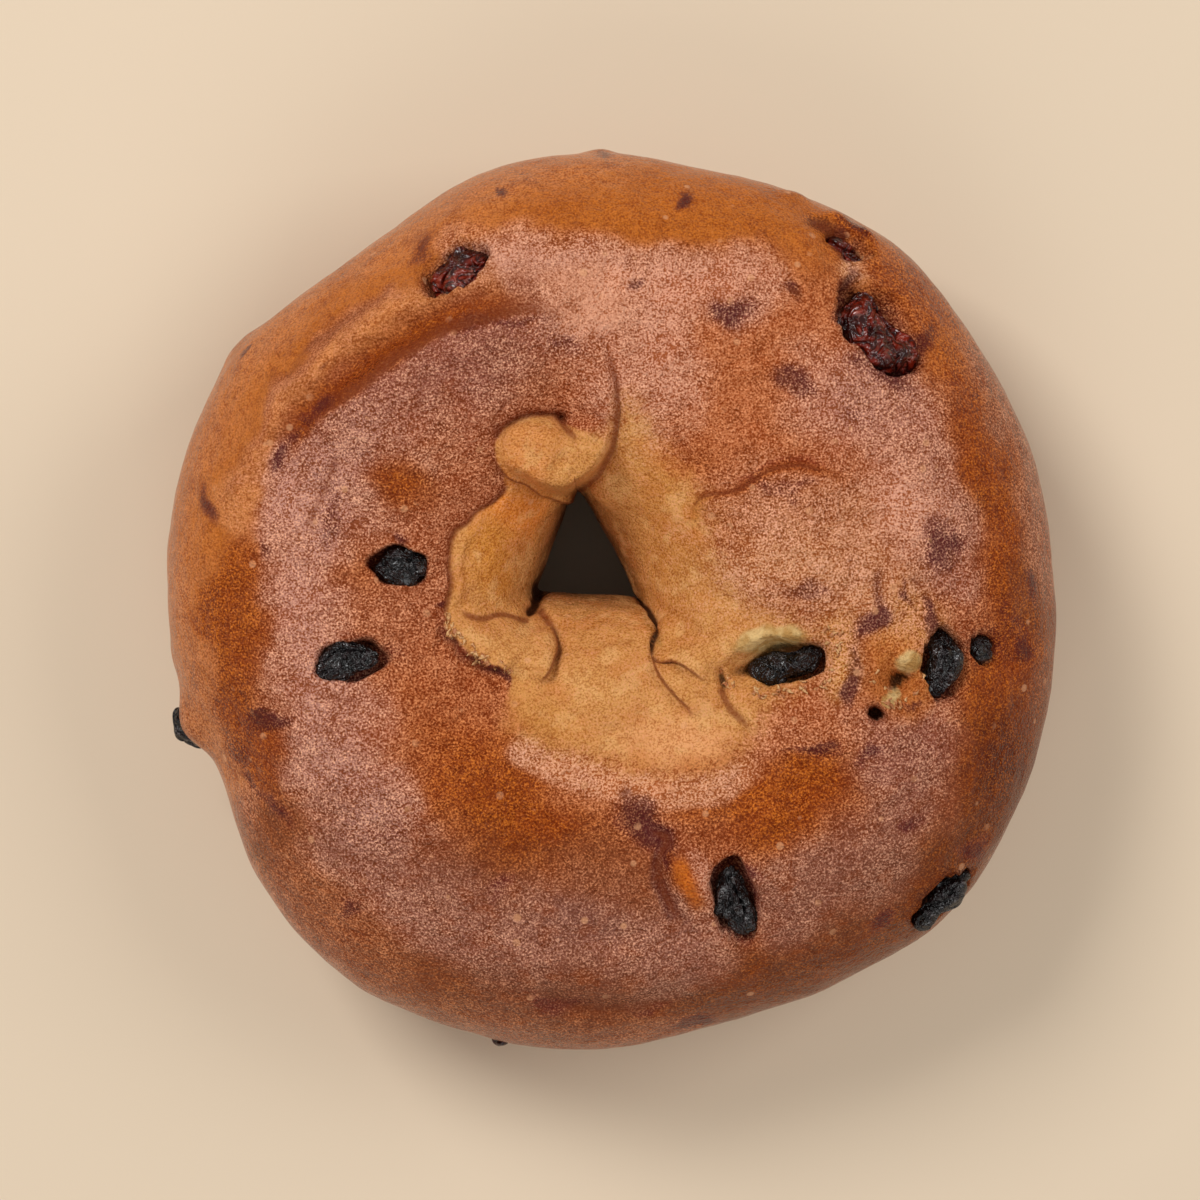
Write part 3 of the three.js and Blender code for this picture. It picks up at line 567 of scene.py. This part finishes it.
BARE_SPOTS = [
    (tint(214, 140, 76), [-10.6, 17.4], [4, 3.2], 0, 0.8),
    (CREAM, [-13.4, -5], [6.5, 3.6], -20, 0.8),
    (tint(222, 134, 52), [-12.5, 11], [3.6, 4.5], 0, 0.9),
    (tint(208, 136, 50), [-14.4, 4.6], [2.8, 3.4], 0, 0.8),
    (GOLD, [-14.5, 14.5], [2.5, 2.5], 0, 0.6),
    (ROSE, [-3.6, 22], [3.4, 2.6], 0, 0.7),
    (BUTTER, [6.4, 6], [3.5, 12], 0, 0.5),
    (tint(206, 130, 66), [6.5, 19], [5, 2.6], -45, 0.7),
    (GOLD, [12.5, 7], [2.5, 6], 0, 0.5),
    (CREAM, [2, -13], [12, 6], 0, 0.5),
    (tint(226, 162, 106), [9, -18.6], [8, 4], -10, 1),
    (BUTTER, [-8, -15], [4, 2.5], 0, 0.4),
    # Painted shade under the tongue's ragged lip, where the dough turns down into the hole.
    (tint(150, 104, 50), [-3.4, 0], [5.5, 1.1], -5, 0.6),
    (tint(134, 112, 50), [4.1, -2.9], [0.8, 1.5], 10, 1),
    (tint(196, 104, 40), [-16.6, 13.5], [2.6, 2], -30, 0.7),
]

x, y, z = np.moveaxis(skin, 2, 0)
drift_x = x + 1.4 * unevenness(skin, 7, 31) + 0.5 * unevenness(skin, 2.5, 33)
drift_y = y + 1.4 * unevenness(skin, 7, 37) + 0.5 * unevenness(skin, 2.5, 39)


def wash(colour, paint, mask):
    """The colour with a paint washed over it, as strongly as the mask says."""
    return colour + (paint - colour) * mask[..., None]


def band_mask(points, width):
    """1 along a path, fading out on both sides."""
    return 1 - smooth_step(follow(points, drift_x, drift_y, 2 * width)[0], 0.35 * width, 1.5 * width)


def spot_mask(at, half, turned):
    """1 in the middle of an oval, fading out round it."""
    return 1 - smooth_step(oval(drift_x, drift_y, at, half, turned), 0.25, 1.6)


crust = np.zeros(skin.shape) + BRICK
for paint, points, width, strength in BANDS:
    crust = wash(crust, paint, strength * band_mask(points, width))
for paint, at, half, turned, strength in SPOTS:
    crust = wash(crust, paint, strength * spot_mask(at, half, turned))
for paint, points, left_reach, right_reach, strength, fade in EDGES:
    distance, side, along, _ = follow(points, x + 0.6 * wander_x, y + 0.6 * wander_y, 2 + right_reach)
    reach = np.where(side > 0, left_reach, right_reach)
    near_path = 1 - smooth_step(distance, 0.3 * reach, reach)
    crust = wash(crust, paint, strength * fading(along, fade) * near_path)
outer_side = smooth_step(np.hypot(x - HOLE_CENTRE[0], y - HOLE_CENTRE[1]), 20, 30)
below_waist = 1 - smooth_step(z, 4, 18)
crust = wash(crust, HONEY, 0.55 * below_waist * outer_side)
crust = wash(crust, RUSSET, 0.8 * (1 - smooth_step(z, 0, 4)))
bare_tint = np.zeros(skin.shape) + TAN
for paint, at, half, turned, strength in BARE_SPOTS:
    bare_tint = wash(bare_tint, paint, strength * spot_mask(at, half, turned))

# Pale flecks, painted glints of light on the crust's tiny bumps, lie densest where the crust is pale, and
# thinner where it is dark or golden and on the rim's ridge. They are pinker the more purple the crust is.
redness = crust[..., 0]
blue_share = crust[..., 2] / redness
golden = smooth_step(redness, 0.36, 0.46) * (1 - smooth_step(blue_share, 0.06, 0.14))
purple = smooth_step(blue_share, 0.03, 0.2)
on_ridge = band_mask(CREASES["rim ridge"][0], 4)
glint_fleck_share = (0.4 + 0.6 * smooth_step(redness, 0.12, 0.42)) * (1 - 0.45 * golden) * (1 - 0.3 * on_ridge)

# The bare dough's edge is sharp at the left and soft at the right and below. In the hole all the dough is
# bare, with painted shade making it darker towards the foot.
softness = 0.4 + 4 * np.maximum(smooth_step(x, -5, 1), smooth_step(-y, 10, 15))
bare = smooth_step(inside_distance(BARE_EDGE, x + 0.5 * wander_x, y + 0.5 * wander_y) / softness, -1, 1)
throat = 1 - smooth_step(np.hypot(x - HOLE_CENTRE[0], y - HOLE_CENTRE[1]), 15, 19)
bare = np.maximum(bare, throat * smooth_step(z, 1, 7) * (1 - smooth_step(z, 28, 32)))
# Painted shade down the hole, darker towards the foot.
bare_tint = wash(bare_tint, tint(84, 46, 22), 0.85 * throat * (1 - smooth_step(z, 14, 29)))
stain = np.zeros(x.shape)
for at, half, turned, strength in STAINS:
    spread = 1 - smooth_step(oval(drift_x, drift_y, at, half, turned), 0.3, 1.7)
    stain = np.maximum(stain, strength * spread)
stain = np.maximum(stain, 0.65 * (1 - smooth_step(pocket, 0.95, 1.3)))
stain *= smooth_step(z, 8, 18)
pulp = np.zeros(x.shape)
for name in ("pulp in the gash", "crater's pulp", "crater's lower pulp"):
    at, half, turned = DOMES[name][:3]
    pulp = np.maximum(pulp, 1 - smooth_step(oval(x + wander_x, y + wander_y, at, half, turned), 0.5, 1.25))
# Painted shade: the deepest creases, the torn pits and the steam hole are painted very dark, each pit as
# strongly as its number says.
deep_shade = crevice
SHADED_PITS = {"gash's left pit": 0.5, "gash's torn slot": 0.7, "crater's hollow": 0.8, "steam hole": 1}
for name, shade_strength in SHADED_PITS.items():
    at, half, turned = DOMES[name][:3]
    inside = 1 - smooth_step(oval(x + wander_x, y + wander_y, at, half, turned), 0.4, 1.1)
    deep_shade = np.maximum(deep_shade, shade_strength * inside)

mesh = bpy.data.meshes.new("dough_crust")
ring = np.arange(RING_STEPS)[:, None] * SECTION_STEPS
step = np.arange(SECTION_STEPS)[None, :]
next_ring = (ring + SECTION_STEPS) % (RING_STEPS * SECTION_STEPS)
next_step = (step + 1) % SECTION_STEPS
faces = np.stack([ring + step, next_ring + step, next_ring + next_step, ring + next_step], axis=2)
mesh.from_pydata((skin.reshape(-1, 3) * MM).tolist(), [], faces.reshape(-1, 4).tolist())
mesh.shade_smooth()
# The fold and deep masks carry painted shade, and the fleck share carries painted glints.
masks = {
    "glint_fleck_share": glint_fleck_share, "purple": purple, "bare": bare, "stain": stain,
    "pulp": pulp, "deep_shade": deep_shade, "fold": fold, "top": top,
}
for name, values in masks.items():
    layer = mesh.attributes.new(name, "FLOAT", "POINT")
    layer.data.foreach_set("value", values.astype(np.float32).ravel())
for name, values in {"crust_tint": crust, "bare_tint": bare_tint}.items():
    rgba = np.concatenate([values, np.ones(values.shape[:2] + (1,))], axis=2)
    layer = mesh.attributes.new(name, "FLOAT_COLOR", "POINT")
    layer.data.foreach_set("color", rgba.astype(np.float32).ravel())
dough = bpy.data.objects.new("dough_crust", mesh)
bpy.context.scene.collection.objects.link(dough)


class Wire:
    """A socket of a finish's nodes. Sums on wires and numbers add Math nodes."""

    def __init__(self, finish, socket):
        self.finish = finish
        self.socket = socket

    def __add__(self, other):
        return self.finish.node("Math", {"operation": "ADD"}, {0: self, 1: other})

    def __radd__(self, other):
        return self + other

    def __sub__(self, other):
        return self.finish.node("Math", {"operation": "SUBTRACT"}, {0: self, 1: other})

    def __rsub__(self, other):
        return self.finish.node("Math", {"operation": "SUBTRACT"}, {0: other, 1: self})

    def __mul__(self, other):
        return self.finish.node("Math", {"operation": "MULTIPLY"}, {0: self, 1: other})

    def __rmul__(self, other):
        return self * other

    def size(self):
        return self.finish.node("Math", {"operation": "ABSOLUTE"}, {0: self})

    def between(self, low, high):
        """0 below low, 1 above high, and a smooth rise between."""
        sockets = {"Value": self, "From Min": low, "From Max": high}
        return self.finish.node("MapRange", {"interpolation_type": "SMOOTHSTEP"}, sockets)


class Finish:
    """A procedural material, made node by node, whose places are in millimetres of the object."""

    def __init__(self, name):
        self.material = bpy.data.materials.new(name)
        self.material.use_nodes = True
        self.tree = self.material.node_tree
        self.shader = self.tree.nodes["Principled BSDF"]
        place = self.node("TexCoord", {}, {}, "Object")
        self.place = self.node("VectorMath", {"operation": "SCALE"}, {0: place, "Scale": 1 / MM})

    def node(self, kind, settings, sockets, output=0):
        """One node of any kind: its settings first, then the values or wires of its sockets."""
        made = self.tree.nodes.new("ShaderNode" + kind)
        for setting, value in settings.items():
            setattr(made, setting, value)
        for socket, value in sockets.items():
            self.feed(made.inputs[socket], value)
        return Wire(self, made.outputs[output])

    def feed(self, socket, value):
        if isinstance(value, Wire):
            self.tree.links.new(value.socket, socket)
        elif socket.type == "RGBA":
            socket.default_value = (*value, 1)
        else:
            socket.default_value = value

    def mix(self, share, under, over, blend="MIX"):
        """One colour over another."""
        settings = {"data_type": "RGBA", "blend_type": blend}
        return self.node("Mix", settings, {0: share, 6: under, 7: over}, output=2)

    def grain(self, size, detail=2, **more):
        """Noise from 0 to 1 with lumps of a size in millimetres."""
        sockets = {"Vector": self.place, "Scale": 1 / size, "Detail": detail, **more}
        return self.node("TexNoise", {}, sockets, output="Fac")

    def painted(self, name, output="Fac"):
        """What was painted on the mesh under a name."""
        return self.node("Attribute", {"attribute_name": name}, {}, output)


PIMPLE_SPACING = 3.4
RELIEF_DEPTH = 0.3 * MM
crust_finish = Finish("baked crust")
blotches = crust_finish.grain(5, 2)
patches = crust_finish.grain(3.2, 2)
clusters = crust_finish.grain(1.7, 2)
ragged = crust_finish.grain(0.9, 2)
painted_bare = crust_finish.painted("bare")
is_bare = (painted_bare + 1.6 * (ragged - 0.5) * painted_bare * (1 - painted_bare)).between(0.08, 0.92)

browned = crust_finish.painted("crust_tint", "Color")
browned = crust_finish.mix(0.7 * blotches.between(0.48, 0.72), browned, (0.72, 0.6, 0.5), "MULTIPLY")
browned = crust_finish.mix(0.7 * blotches.between(0.5, 0.28), browned, (1.18, 1.2, 1.22), "MULTIPLY")
browned = crust_finish.mix(0.4 * patches.between(0.52, 0.68), browned, EMBER)
bare_crumb = crust_finish.painted("bare_tint", "Color")
bare_crumb = crust_finish.mix(0.45 * blotches.between(0.46, 0.66), bare_crumb, tint(182, 106, 38))
bare_crumb = crust_finish.mix(0.5 * patches.between(0.46, 0.34), bare_crumb, tint(226, 176, 112))
colour = crust_finish.mix(is_bare, browned, bare_crumb)
stained = crust_finish.painted("stain") * (1 - 0.85 * is_bare)
stain_fringe = (stained + 0.5 * (ragged - 0.5) + 0.3 * (blotches - 0.5)).between(0.1, 0.6)
stain_core = (stained + 0.5 * (ragged - 0.5)).between(0.45, 0.85)
colour = crust_finish.mix(0.68 * stain_fringe, colour, WINE)
colour = crust_finish.mix(0.85 * stain_core, colour, tint(78, 22, 30))

# Tiny pale flecks of painted glint, crowded in places, cover a skin that is a deeper, redder brown in the
# gaps between them.
glint_fleck_share = crust_finish.painted("glint_fleck_share") * (1 - is_bare) + 0.5 * is_bare
ripple = crust_finish.grain(0.36, 1)
grit = crust_finish.grain(0.25, 2) + 0.22 * (clusters - 0.5) + 0.25 * (blotches - 0.5)
glint_threads = (ripple - 0.5).size().between(0.07, 0.0) * grit.between(0.4, 0.55)
glint_flecks = (0.7 * glint_threads + 0.8 * grit.between(0.54, 0.68)) * (1 - 0.6 * stain_core)
gaps = (0.4 * ragged.between(0.5, 0.34) + 1.1 * grit.between(0.5, 0.38)) * (1 - 0.7 * stain_core)
purple = crust_finish.painted("purple")
between_flecks = crust_finish.mix(purple, (0.92, 0.75, 0.5), (1.0, 0.98, 1.04))
colour = crust_finish.mix(glint_fleck_share, colour, between_flecks, "MULTIPLY")
colour = crust_finish.mix(glint_fleck_share * gaps, colour, (0.52, 0.3, 0.16), "MULTIPLY")
# Painted glints: the pale flecks, pinker on purple crust.
glint_tint = crust_finish.mix(purple, tint(214, 118, 36), tint(236, 172, 140))
colour = crust_finish.mix(0.88 * glint_fleck_share * glint_flecks, colour, glint_tint)
sockets = {"Vector": crust_finish.place, "Scale": 1 / PIMPLE_SPACING}
from_pimple = crust_finish.node("TexVoronoi", {}, sockets, "Distance")
pimples = from_pimple.between(0.17, 0.11) * crust_finish.grain(6, 1).between(0.48, 0.6)
pimples = pimples * crust_finish.painted("top")
colour = crust_finish.mix(0.5 * pimples, colour, tint(222, 160, 116))
# Painted shade in the furrows and on the low side under the ledges.
fold_shade = crust_finish.painted("fold").between(0.15, 0.9)
colour = crust_finish.mix(0.72 * fold_shade, colour, tint(112, 46, 22))
is_pulp = crust_finish.painted("pulp").between(0.2, 0.8)
pulp_colour = crust_finish.mix(clusters.between(0.35, 0.65), tint(172, 132, 74), tint(214, 182, 124))
colour = crust_finish.mix(0.85 * is_pulp, colour, pulp_colour)
# Painted shade, very dark, down the deepest creases, the torn pits and the steam hole.
in_deep_shade = (crust_finish.painted("deep_shade") + 0.4 * (ragged - 0.5)).between(0.3, 0.8)
colour = crust_finish.mix(0.92 * in_deep_shade, colour, tint(36, 17, 9))
crust_finish.feed(crust_finish.shader.inputs["Base Color"], colour)
crust_finish.feed(crust_finish.shader.inputs["Specular IOR Level"], 0.34)
crust_finish.feed(crust_finish.shader.inputs["Specular Tint"], (1, 0.5, 0.22))
crust_finish.feed(crust_finish.shader.inputs["Roughness"], 0.18 + 0.26 * is_bare - 0.1 * is_pulp)
relief = 0.9 * ripple + 0.5 * grit + 0.8 * ragged + 1.2 * clusters + 1.6 * patches
relief = relief * (1 - 0.4 * painted_bare)
bump = crust_finish.node("Bump", {}, {"Strength": 1.0, "Distance": RELIEF_DEPTH, "Height": relief})
crust_finish.feed(crust_finish.shader.inputs["Normal"], bump)
dough.data.materials.append(crust_finish.material)
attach(dough, "root")
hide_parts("dough")

# Raisins: dried grapes baked into the crust, near black, creased along their length and half glossy. Four
# are split and show dark red flesh. Each is its CAD solid with a finer skin, shrunk into wrinkles.
RAISIN_SUBDIVISIONS = 3
OUTLINE_UNEVENNESS, OUTLINE_LUMP = 0.28, 3.6  # height as a share of the raisin's half width, and size
# Size of the creases, and their depth as a share of the raisin's half height.
WRINKLES = [(3.0, 0.3), (1.5, 0.14)]
CREASE_STRETCH = 1.7  # how much longer than wide a crease is
SPLIT_RAISINS = ["raisin_9", "raisin_10", "raisin_11", "raisin_12"]
PINCHES = {"raisin_3": 0.9, "raisin_4": 0.5}  # how much a raisin's waist is drawn in
# How far a raisin has sunk into the crust. It sinks down, and the more inward the further out it lies. At
# SINK_SLOPE from the ring's middle that would be 45 degrees.
SINKS = {"raisin_3": 0.3, "raisin_6": 0.5, "raisin_9": 0.9, "raisin_10": 1.4, "raisin_11": 0.6}
SINK_SLOPE = 90


def raisin_skin(name, crease_size, hollow, swell, glint, gloss):
    """A raisin's finish, from the tints of its creases, of its swells and of the light on its ridges."""
    finish = Finish(name)
    crease = (finish.grain(crease_size, 2, Distortion=0.8) - 0.5).size()
    patchy = finish.grain(1.4 * crease_size, 2)
    skin_tint = finish.mix(crease.between(0, 0.12) * patchy.between(0.3, 0.6), hollow, swell)
    ridge = (finish.grain(0.75 * crease_size, 1, Distortion=1.2) - 0.5).size().between(0.05, 0)
    skin_tint = finish.mix(0.5 * ridge * patchy.between(0.5, 0.65), skin_tint, glint)
    finish.feed(finish.shader.inputs["Base Color"], skin_tint)
    finish.feed(finish.shader.inputs["Roughness"], gloss + 0.2 * patchy)
    relief = crease.between(0, 0.2)
    bump = finish.node("Bump", {}, {"Strength": 0.8, "Distance": 0.45 * MM, "Height": relief})
    finish.feed(finish.shader.inputs["Normal"], bump)
    return finish.material


whole_skin = raisin_skin("raisin skin", 1.1, tint(5, 4, 5), tint(34, 24, 26), tint(140, 134, 134), 0.08)
split_skin = raisin_skin("split raisin", 2.2, tint(44, 8, 6), tint(124, 32, 16), tint(204, 140, 124), 0.05)
for index, name in enumerate(RAISINS):
    solid = bmesh.new()
    solid.from_mesh(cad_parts[name].data)
    bmesh.ops.remove_doubles(solid, verts=solid.verts, dist=0.01 * MM)
    raisin = bpy.data.objects.new(f"{name}_skin", bpy.data.meshes.new(f"{name}_skin"))
    solid.to_mesh(raisin.data)
    solid.free()
    bpy.context.scene.collection.objects.link(raisin)
    finer = raisin.modifiers.new("finer", "SUBSURF")
    finer.levels = finer.render_levels = RAISIN_SUBDIVISIONS
    evaluated = raisin.evaluated_get(bpy.context.evaluated_depsgraph_get())
    raisin.data = bpy.data.meshes.new_from_object(evaluated)
    raisin.modifiers.clear()
    count = len(raisin.data.vertices)
    places, normals = np.zeros(count * 3), np.zeros(count * 3)
    raisin.data.vertices.foreach_get("co", places)
    raisin.data.vertices.foreach_get("normal", normals)
    places = places.reshape(1, -1, 3) / MM
    normals = normals.reshape(1, -1, 3)
    middle = places[0].mean(0)
    spread, axes = np.linalg.eigh(np.cov((places[0] - middle).T))
    along_axes = places @ axes / [1, 1, CREASE_STRETCH]
    from_middle = (places - middle) @ axes[:, 2] / math.sqrt(3 * spread[2])
    lumps = unevenness(places, OUTLINE_LUMP, 60 + index)
    shrink = OUTLINE_UNEVENNESS * math.sqrt(3 * spread[1]) * lumps
    for size, depth in WRINKLES:
        folded = np.abs(unevenness(along_axes, size, 40 + index))
        shrink += depth * math.sqrt(3 * spread[0]) * (np.minimum(1, 3 * folded) - 1)
    shrink -= PINCHES.get(name, 0) * np.exp(-((from_middle / 0.35) ** 2))
    places = places + normals * shrink[..., None]
    up_and_out = np.array([middle[0], middle[1], SINK_SLOPE])
    places -= SINKS.get(name, 0) * up_and_out / np.linalg.norm(up_and_out)
    raisin.data.vertices.foreach_set("co", (places * MM).ravel())
    raisin.data.materials.clear()
    raisin.data.materials.append(split_skin if name in SPLIT_RAISINS else whole_skin)
    raisin.data.shade_smooth()
    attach(raisin, "root")
    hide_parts(name)

# Torn crumb: soft pale fibres that stand up where the dough tore, along the flap, under and beside the gash,
# round the crater and on the tongue's edge. Each is a bent strip, drawn out from its foot to a point.
TORN_EDGES = [
    (LEDGES["flap's torn edge"][0], 34),
    ([[12.6, -8.8], [14.4, -10.2], [17.2, -11], [21, -11], [24.6, -10]], 24),
    ([[31.6, -8.2], [33, -12.4], [35.6, -11.8], [37.4, -9]], 16),
    ([[-6.4, 0], [-3.6, 0.9], [0, 0.5], [2.8, -0.2]], 14),
    ([[24.4, -2.6], [26.4, -4.6], [26.6, -7.6], [25.6, -10.4]], 14),
]
FIBRE_LENGTH = (0.4, 1.0)
FIBRE_WIDTH = (0.18, 0.42)
FIBRE_SCATTER = 0.35  # how far a foot strays from the torn edge
FIBRE_LIFT = (0.1, 0.5)  # how high the point stands over the skin
FIBRE_BEND = 0.3  # how much a fibre turns from one step to the next
FIBRE_STEPS = 5
FIBRE_LOWEST = 26  # a fibre with its foot below this would lie in the hole
DOWN = Vector((0, 0, -1))

draw = random.Random(11)
skin_points = [Vector(point) for point in skin.reshape(-1, 3)]
dough_tree = BVHTree.FromPolygons(skin_points, faces.reshape(-1, 4).tolist())
fibre_corners, fibre_faces = [], []
for points, count in TORN_EDGES:
    line = smooth_path(np.array(points, float))
    for _ in range(count):
        foot = line[draw.randrange(len(line))]
        stray = [draw.gauss(0, FIBRE_SCATTER), draw.gauss(0, FIBRE_SCATTER)]
        start = foot + stray
        heading = draw.uniform(0, 2 * math.pi)
        length = draw.uniform(*FIBRE_LENGTH)
        width = draw.uniform(*FIBRE_WIDTH)
        lifted = draw.uniform(*FIBRE_LIFT)
        strip = []
        for i in range(FIBRE_STEPS):
            share = i / (FIBRE_STEPS - 1)
            heading += draw.gauss(0, FIBRE_BEND)
            x, y = start + share * length * np.array([math.cos(heading), math.sin(heading)])
            ground = dough_tree.ray_cast(Vector((x, y, ABOVE_ALL)), DOWN)[0]
            at = Vector((x, y, ground.z + lifted * share if ground else 0))
            half = width * (1 - 0.9 * share)
            across = Vector((-math.sin(heading), math.cos(heading), 0)) * half
            up = Vector((0, 0, 0.6 * half))
            strip.append([at + across, at + up, at - across, at - up])
        if min(ring[0].z for ring in strip) < FIBRE_LOWEST:
            continue
        first = len(fibre_corners)
        last = first + 4 * (FIBRE_STEPS - 1)
        fibre_corners += [corner for ring in strip for corner in ring]
        for a in range(first, last):
            b = a + 1 if (a - first) % 4 < 3 else a - 3
            fibre_faces.append((a, b, b + 4, a + 4))
        fibre_faces += [(first + 3, first + 2, first + 1, first), (last, last + 1, last + 2, last + 3)]
fibre_mesh = bpy.data.meshes.new("torn_crumb")
fibre_mesh.from_pydata([corner * MM for corner in fibre_corners], [], fibre_faces)
fibre_mesh.shade_smooth()
torn_crumb = bpy.data.objects.new("torn_crumb", fibre_mesh)
bpy.context.scene.collection.objects.link(torn_crumb)
crumb_finish = Finish("torn crumb")
crumb_finish.feed(
    crumb_finish.shader.inputs["Base Color"],
    crumb_finish.mix(crumb_finish.grain(0.8).between(0.4, 0.6), tint(176, 108, 62), tint(214, 164, 108)),
)
crumb_finish.feed(crumb_finish.shader.inputs["Roughness"], 0.4)
torn_crumb.data.materials.append(crumb_finish.material)
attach(torn_crumb, "root")

# Table and light: a plain pale table top, three soft square lamps round and above the bagel, the strongest
# at the upper left, and an even light from the whole room.
TABLE_SIDE = 3.0
TABLE_CORNERS = [(-0.5, -0.5), (0.5, -0.5), (0.5, 0.5), (-0.5, 0.5)]
table_mesh = bpy.data.meshes.new("table")
corners = [(share_x * TABLE_SIDE, share_y * TABLE_SIDE, 0) for share_x, share_y in TABLE_CORNERS]
table_mesh.from_pydata(corners, [], [(0, 1, 2, 3)])
table = bpy.data.objects.new("table", table_mesh)
bpy.context.scene.collection.objects.link(table)
table_finish = Finish("pale table")
table_finish.feed(table_finish.shader.inputs["Base Color"], tint(222, 202, 176))
table_finish.feed(table_finish.shader.inputs["Roughness"], 0.8)
table.data.materials.append(table_finish.material)

# Each lamp's place, side and power, and what they all shine at.
LAMPS = {
    "window": ((-0.5, 0.5, 0.75), 0.4, 6.2),
    "wall": ((0.65, 0.25, 0.65), 0.5, 3.0),
    "room": ((-0.1, -0.75, 0.6), 0.6, 2.2),
}
LIT_PLACE = Vector((0, 0, 0.02))
ROOM_TINT, ROOM_LIGHT = (1.0, 0.97, 0.93, 1), 0.32
for name, (place, side, power) in LAMPS.items():
    area = bpy.data.lights.new(name, "AREA")
    area.size = side
    area.energy = power
    lamp = bpy.data.objects.new(name, area)
    lamp.location = place
    lamp.rotation_euler = (LIT_PLACE - lamp.location).to_track_quat("-Z", "Y").to_euler()
    bpy.context.scene.collection.objects.link(lamp)
world = bpy.data.worlds.new("room")
world.use_nodes = True
world.node_tree.nodes["Background"].inputs["Color"].default_value = ROOM_TINT
world.node_tree.nodes["Background"].inputs["Strength"].default_value = ROOM_LIGHT
bpy.context.scene.world = world
bpy.context.scene.view_settings.view_transform = "Standard"

# Camera: straight above, as the photograph was taken.
CAMERA_HEIGHT = 0.5
CAMERA_LEFT = -0.0016  # the photograph's middle is a little left of the bagel's
VIEW_WIDTH = 0.150  # what the frame's width takes in at the bagel's widest level
WIDEST_LEVEL = 0.017
SENSOR_WIDTH = 36
camera_data = bpy.data.cameras.new("camera")
camera_data.sensor_width = SENSOR_WIDTH
camera_data.lens = SENSOR_WIDTH * (CAMERA_HEIGHT - WIDEST_LEVEL) / VIEW_WIDTH
camera = bpy.data.objects.new("camera", camera_data)
camera.location = (CAMERA_LEFT, 0, CAMERA_HEIGHT)
bpy.context.scene.collection.objects.link(camera)
bpy.context.scene.camera = camera
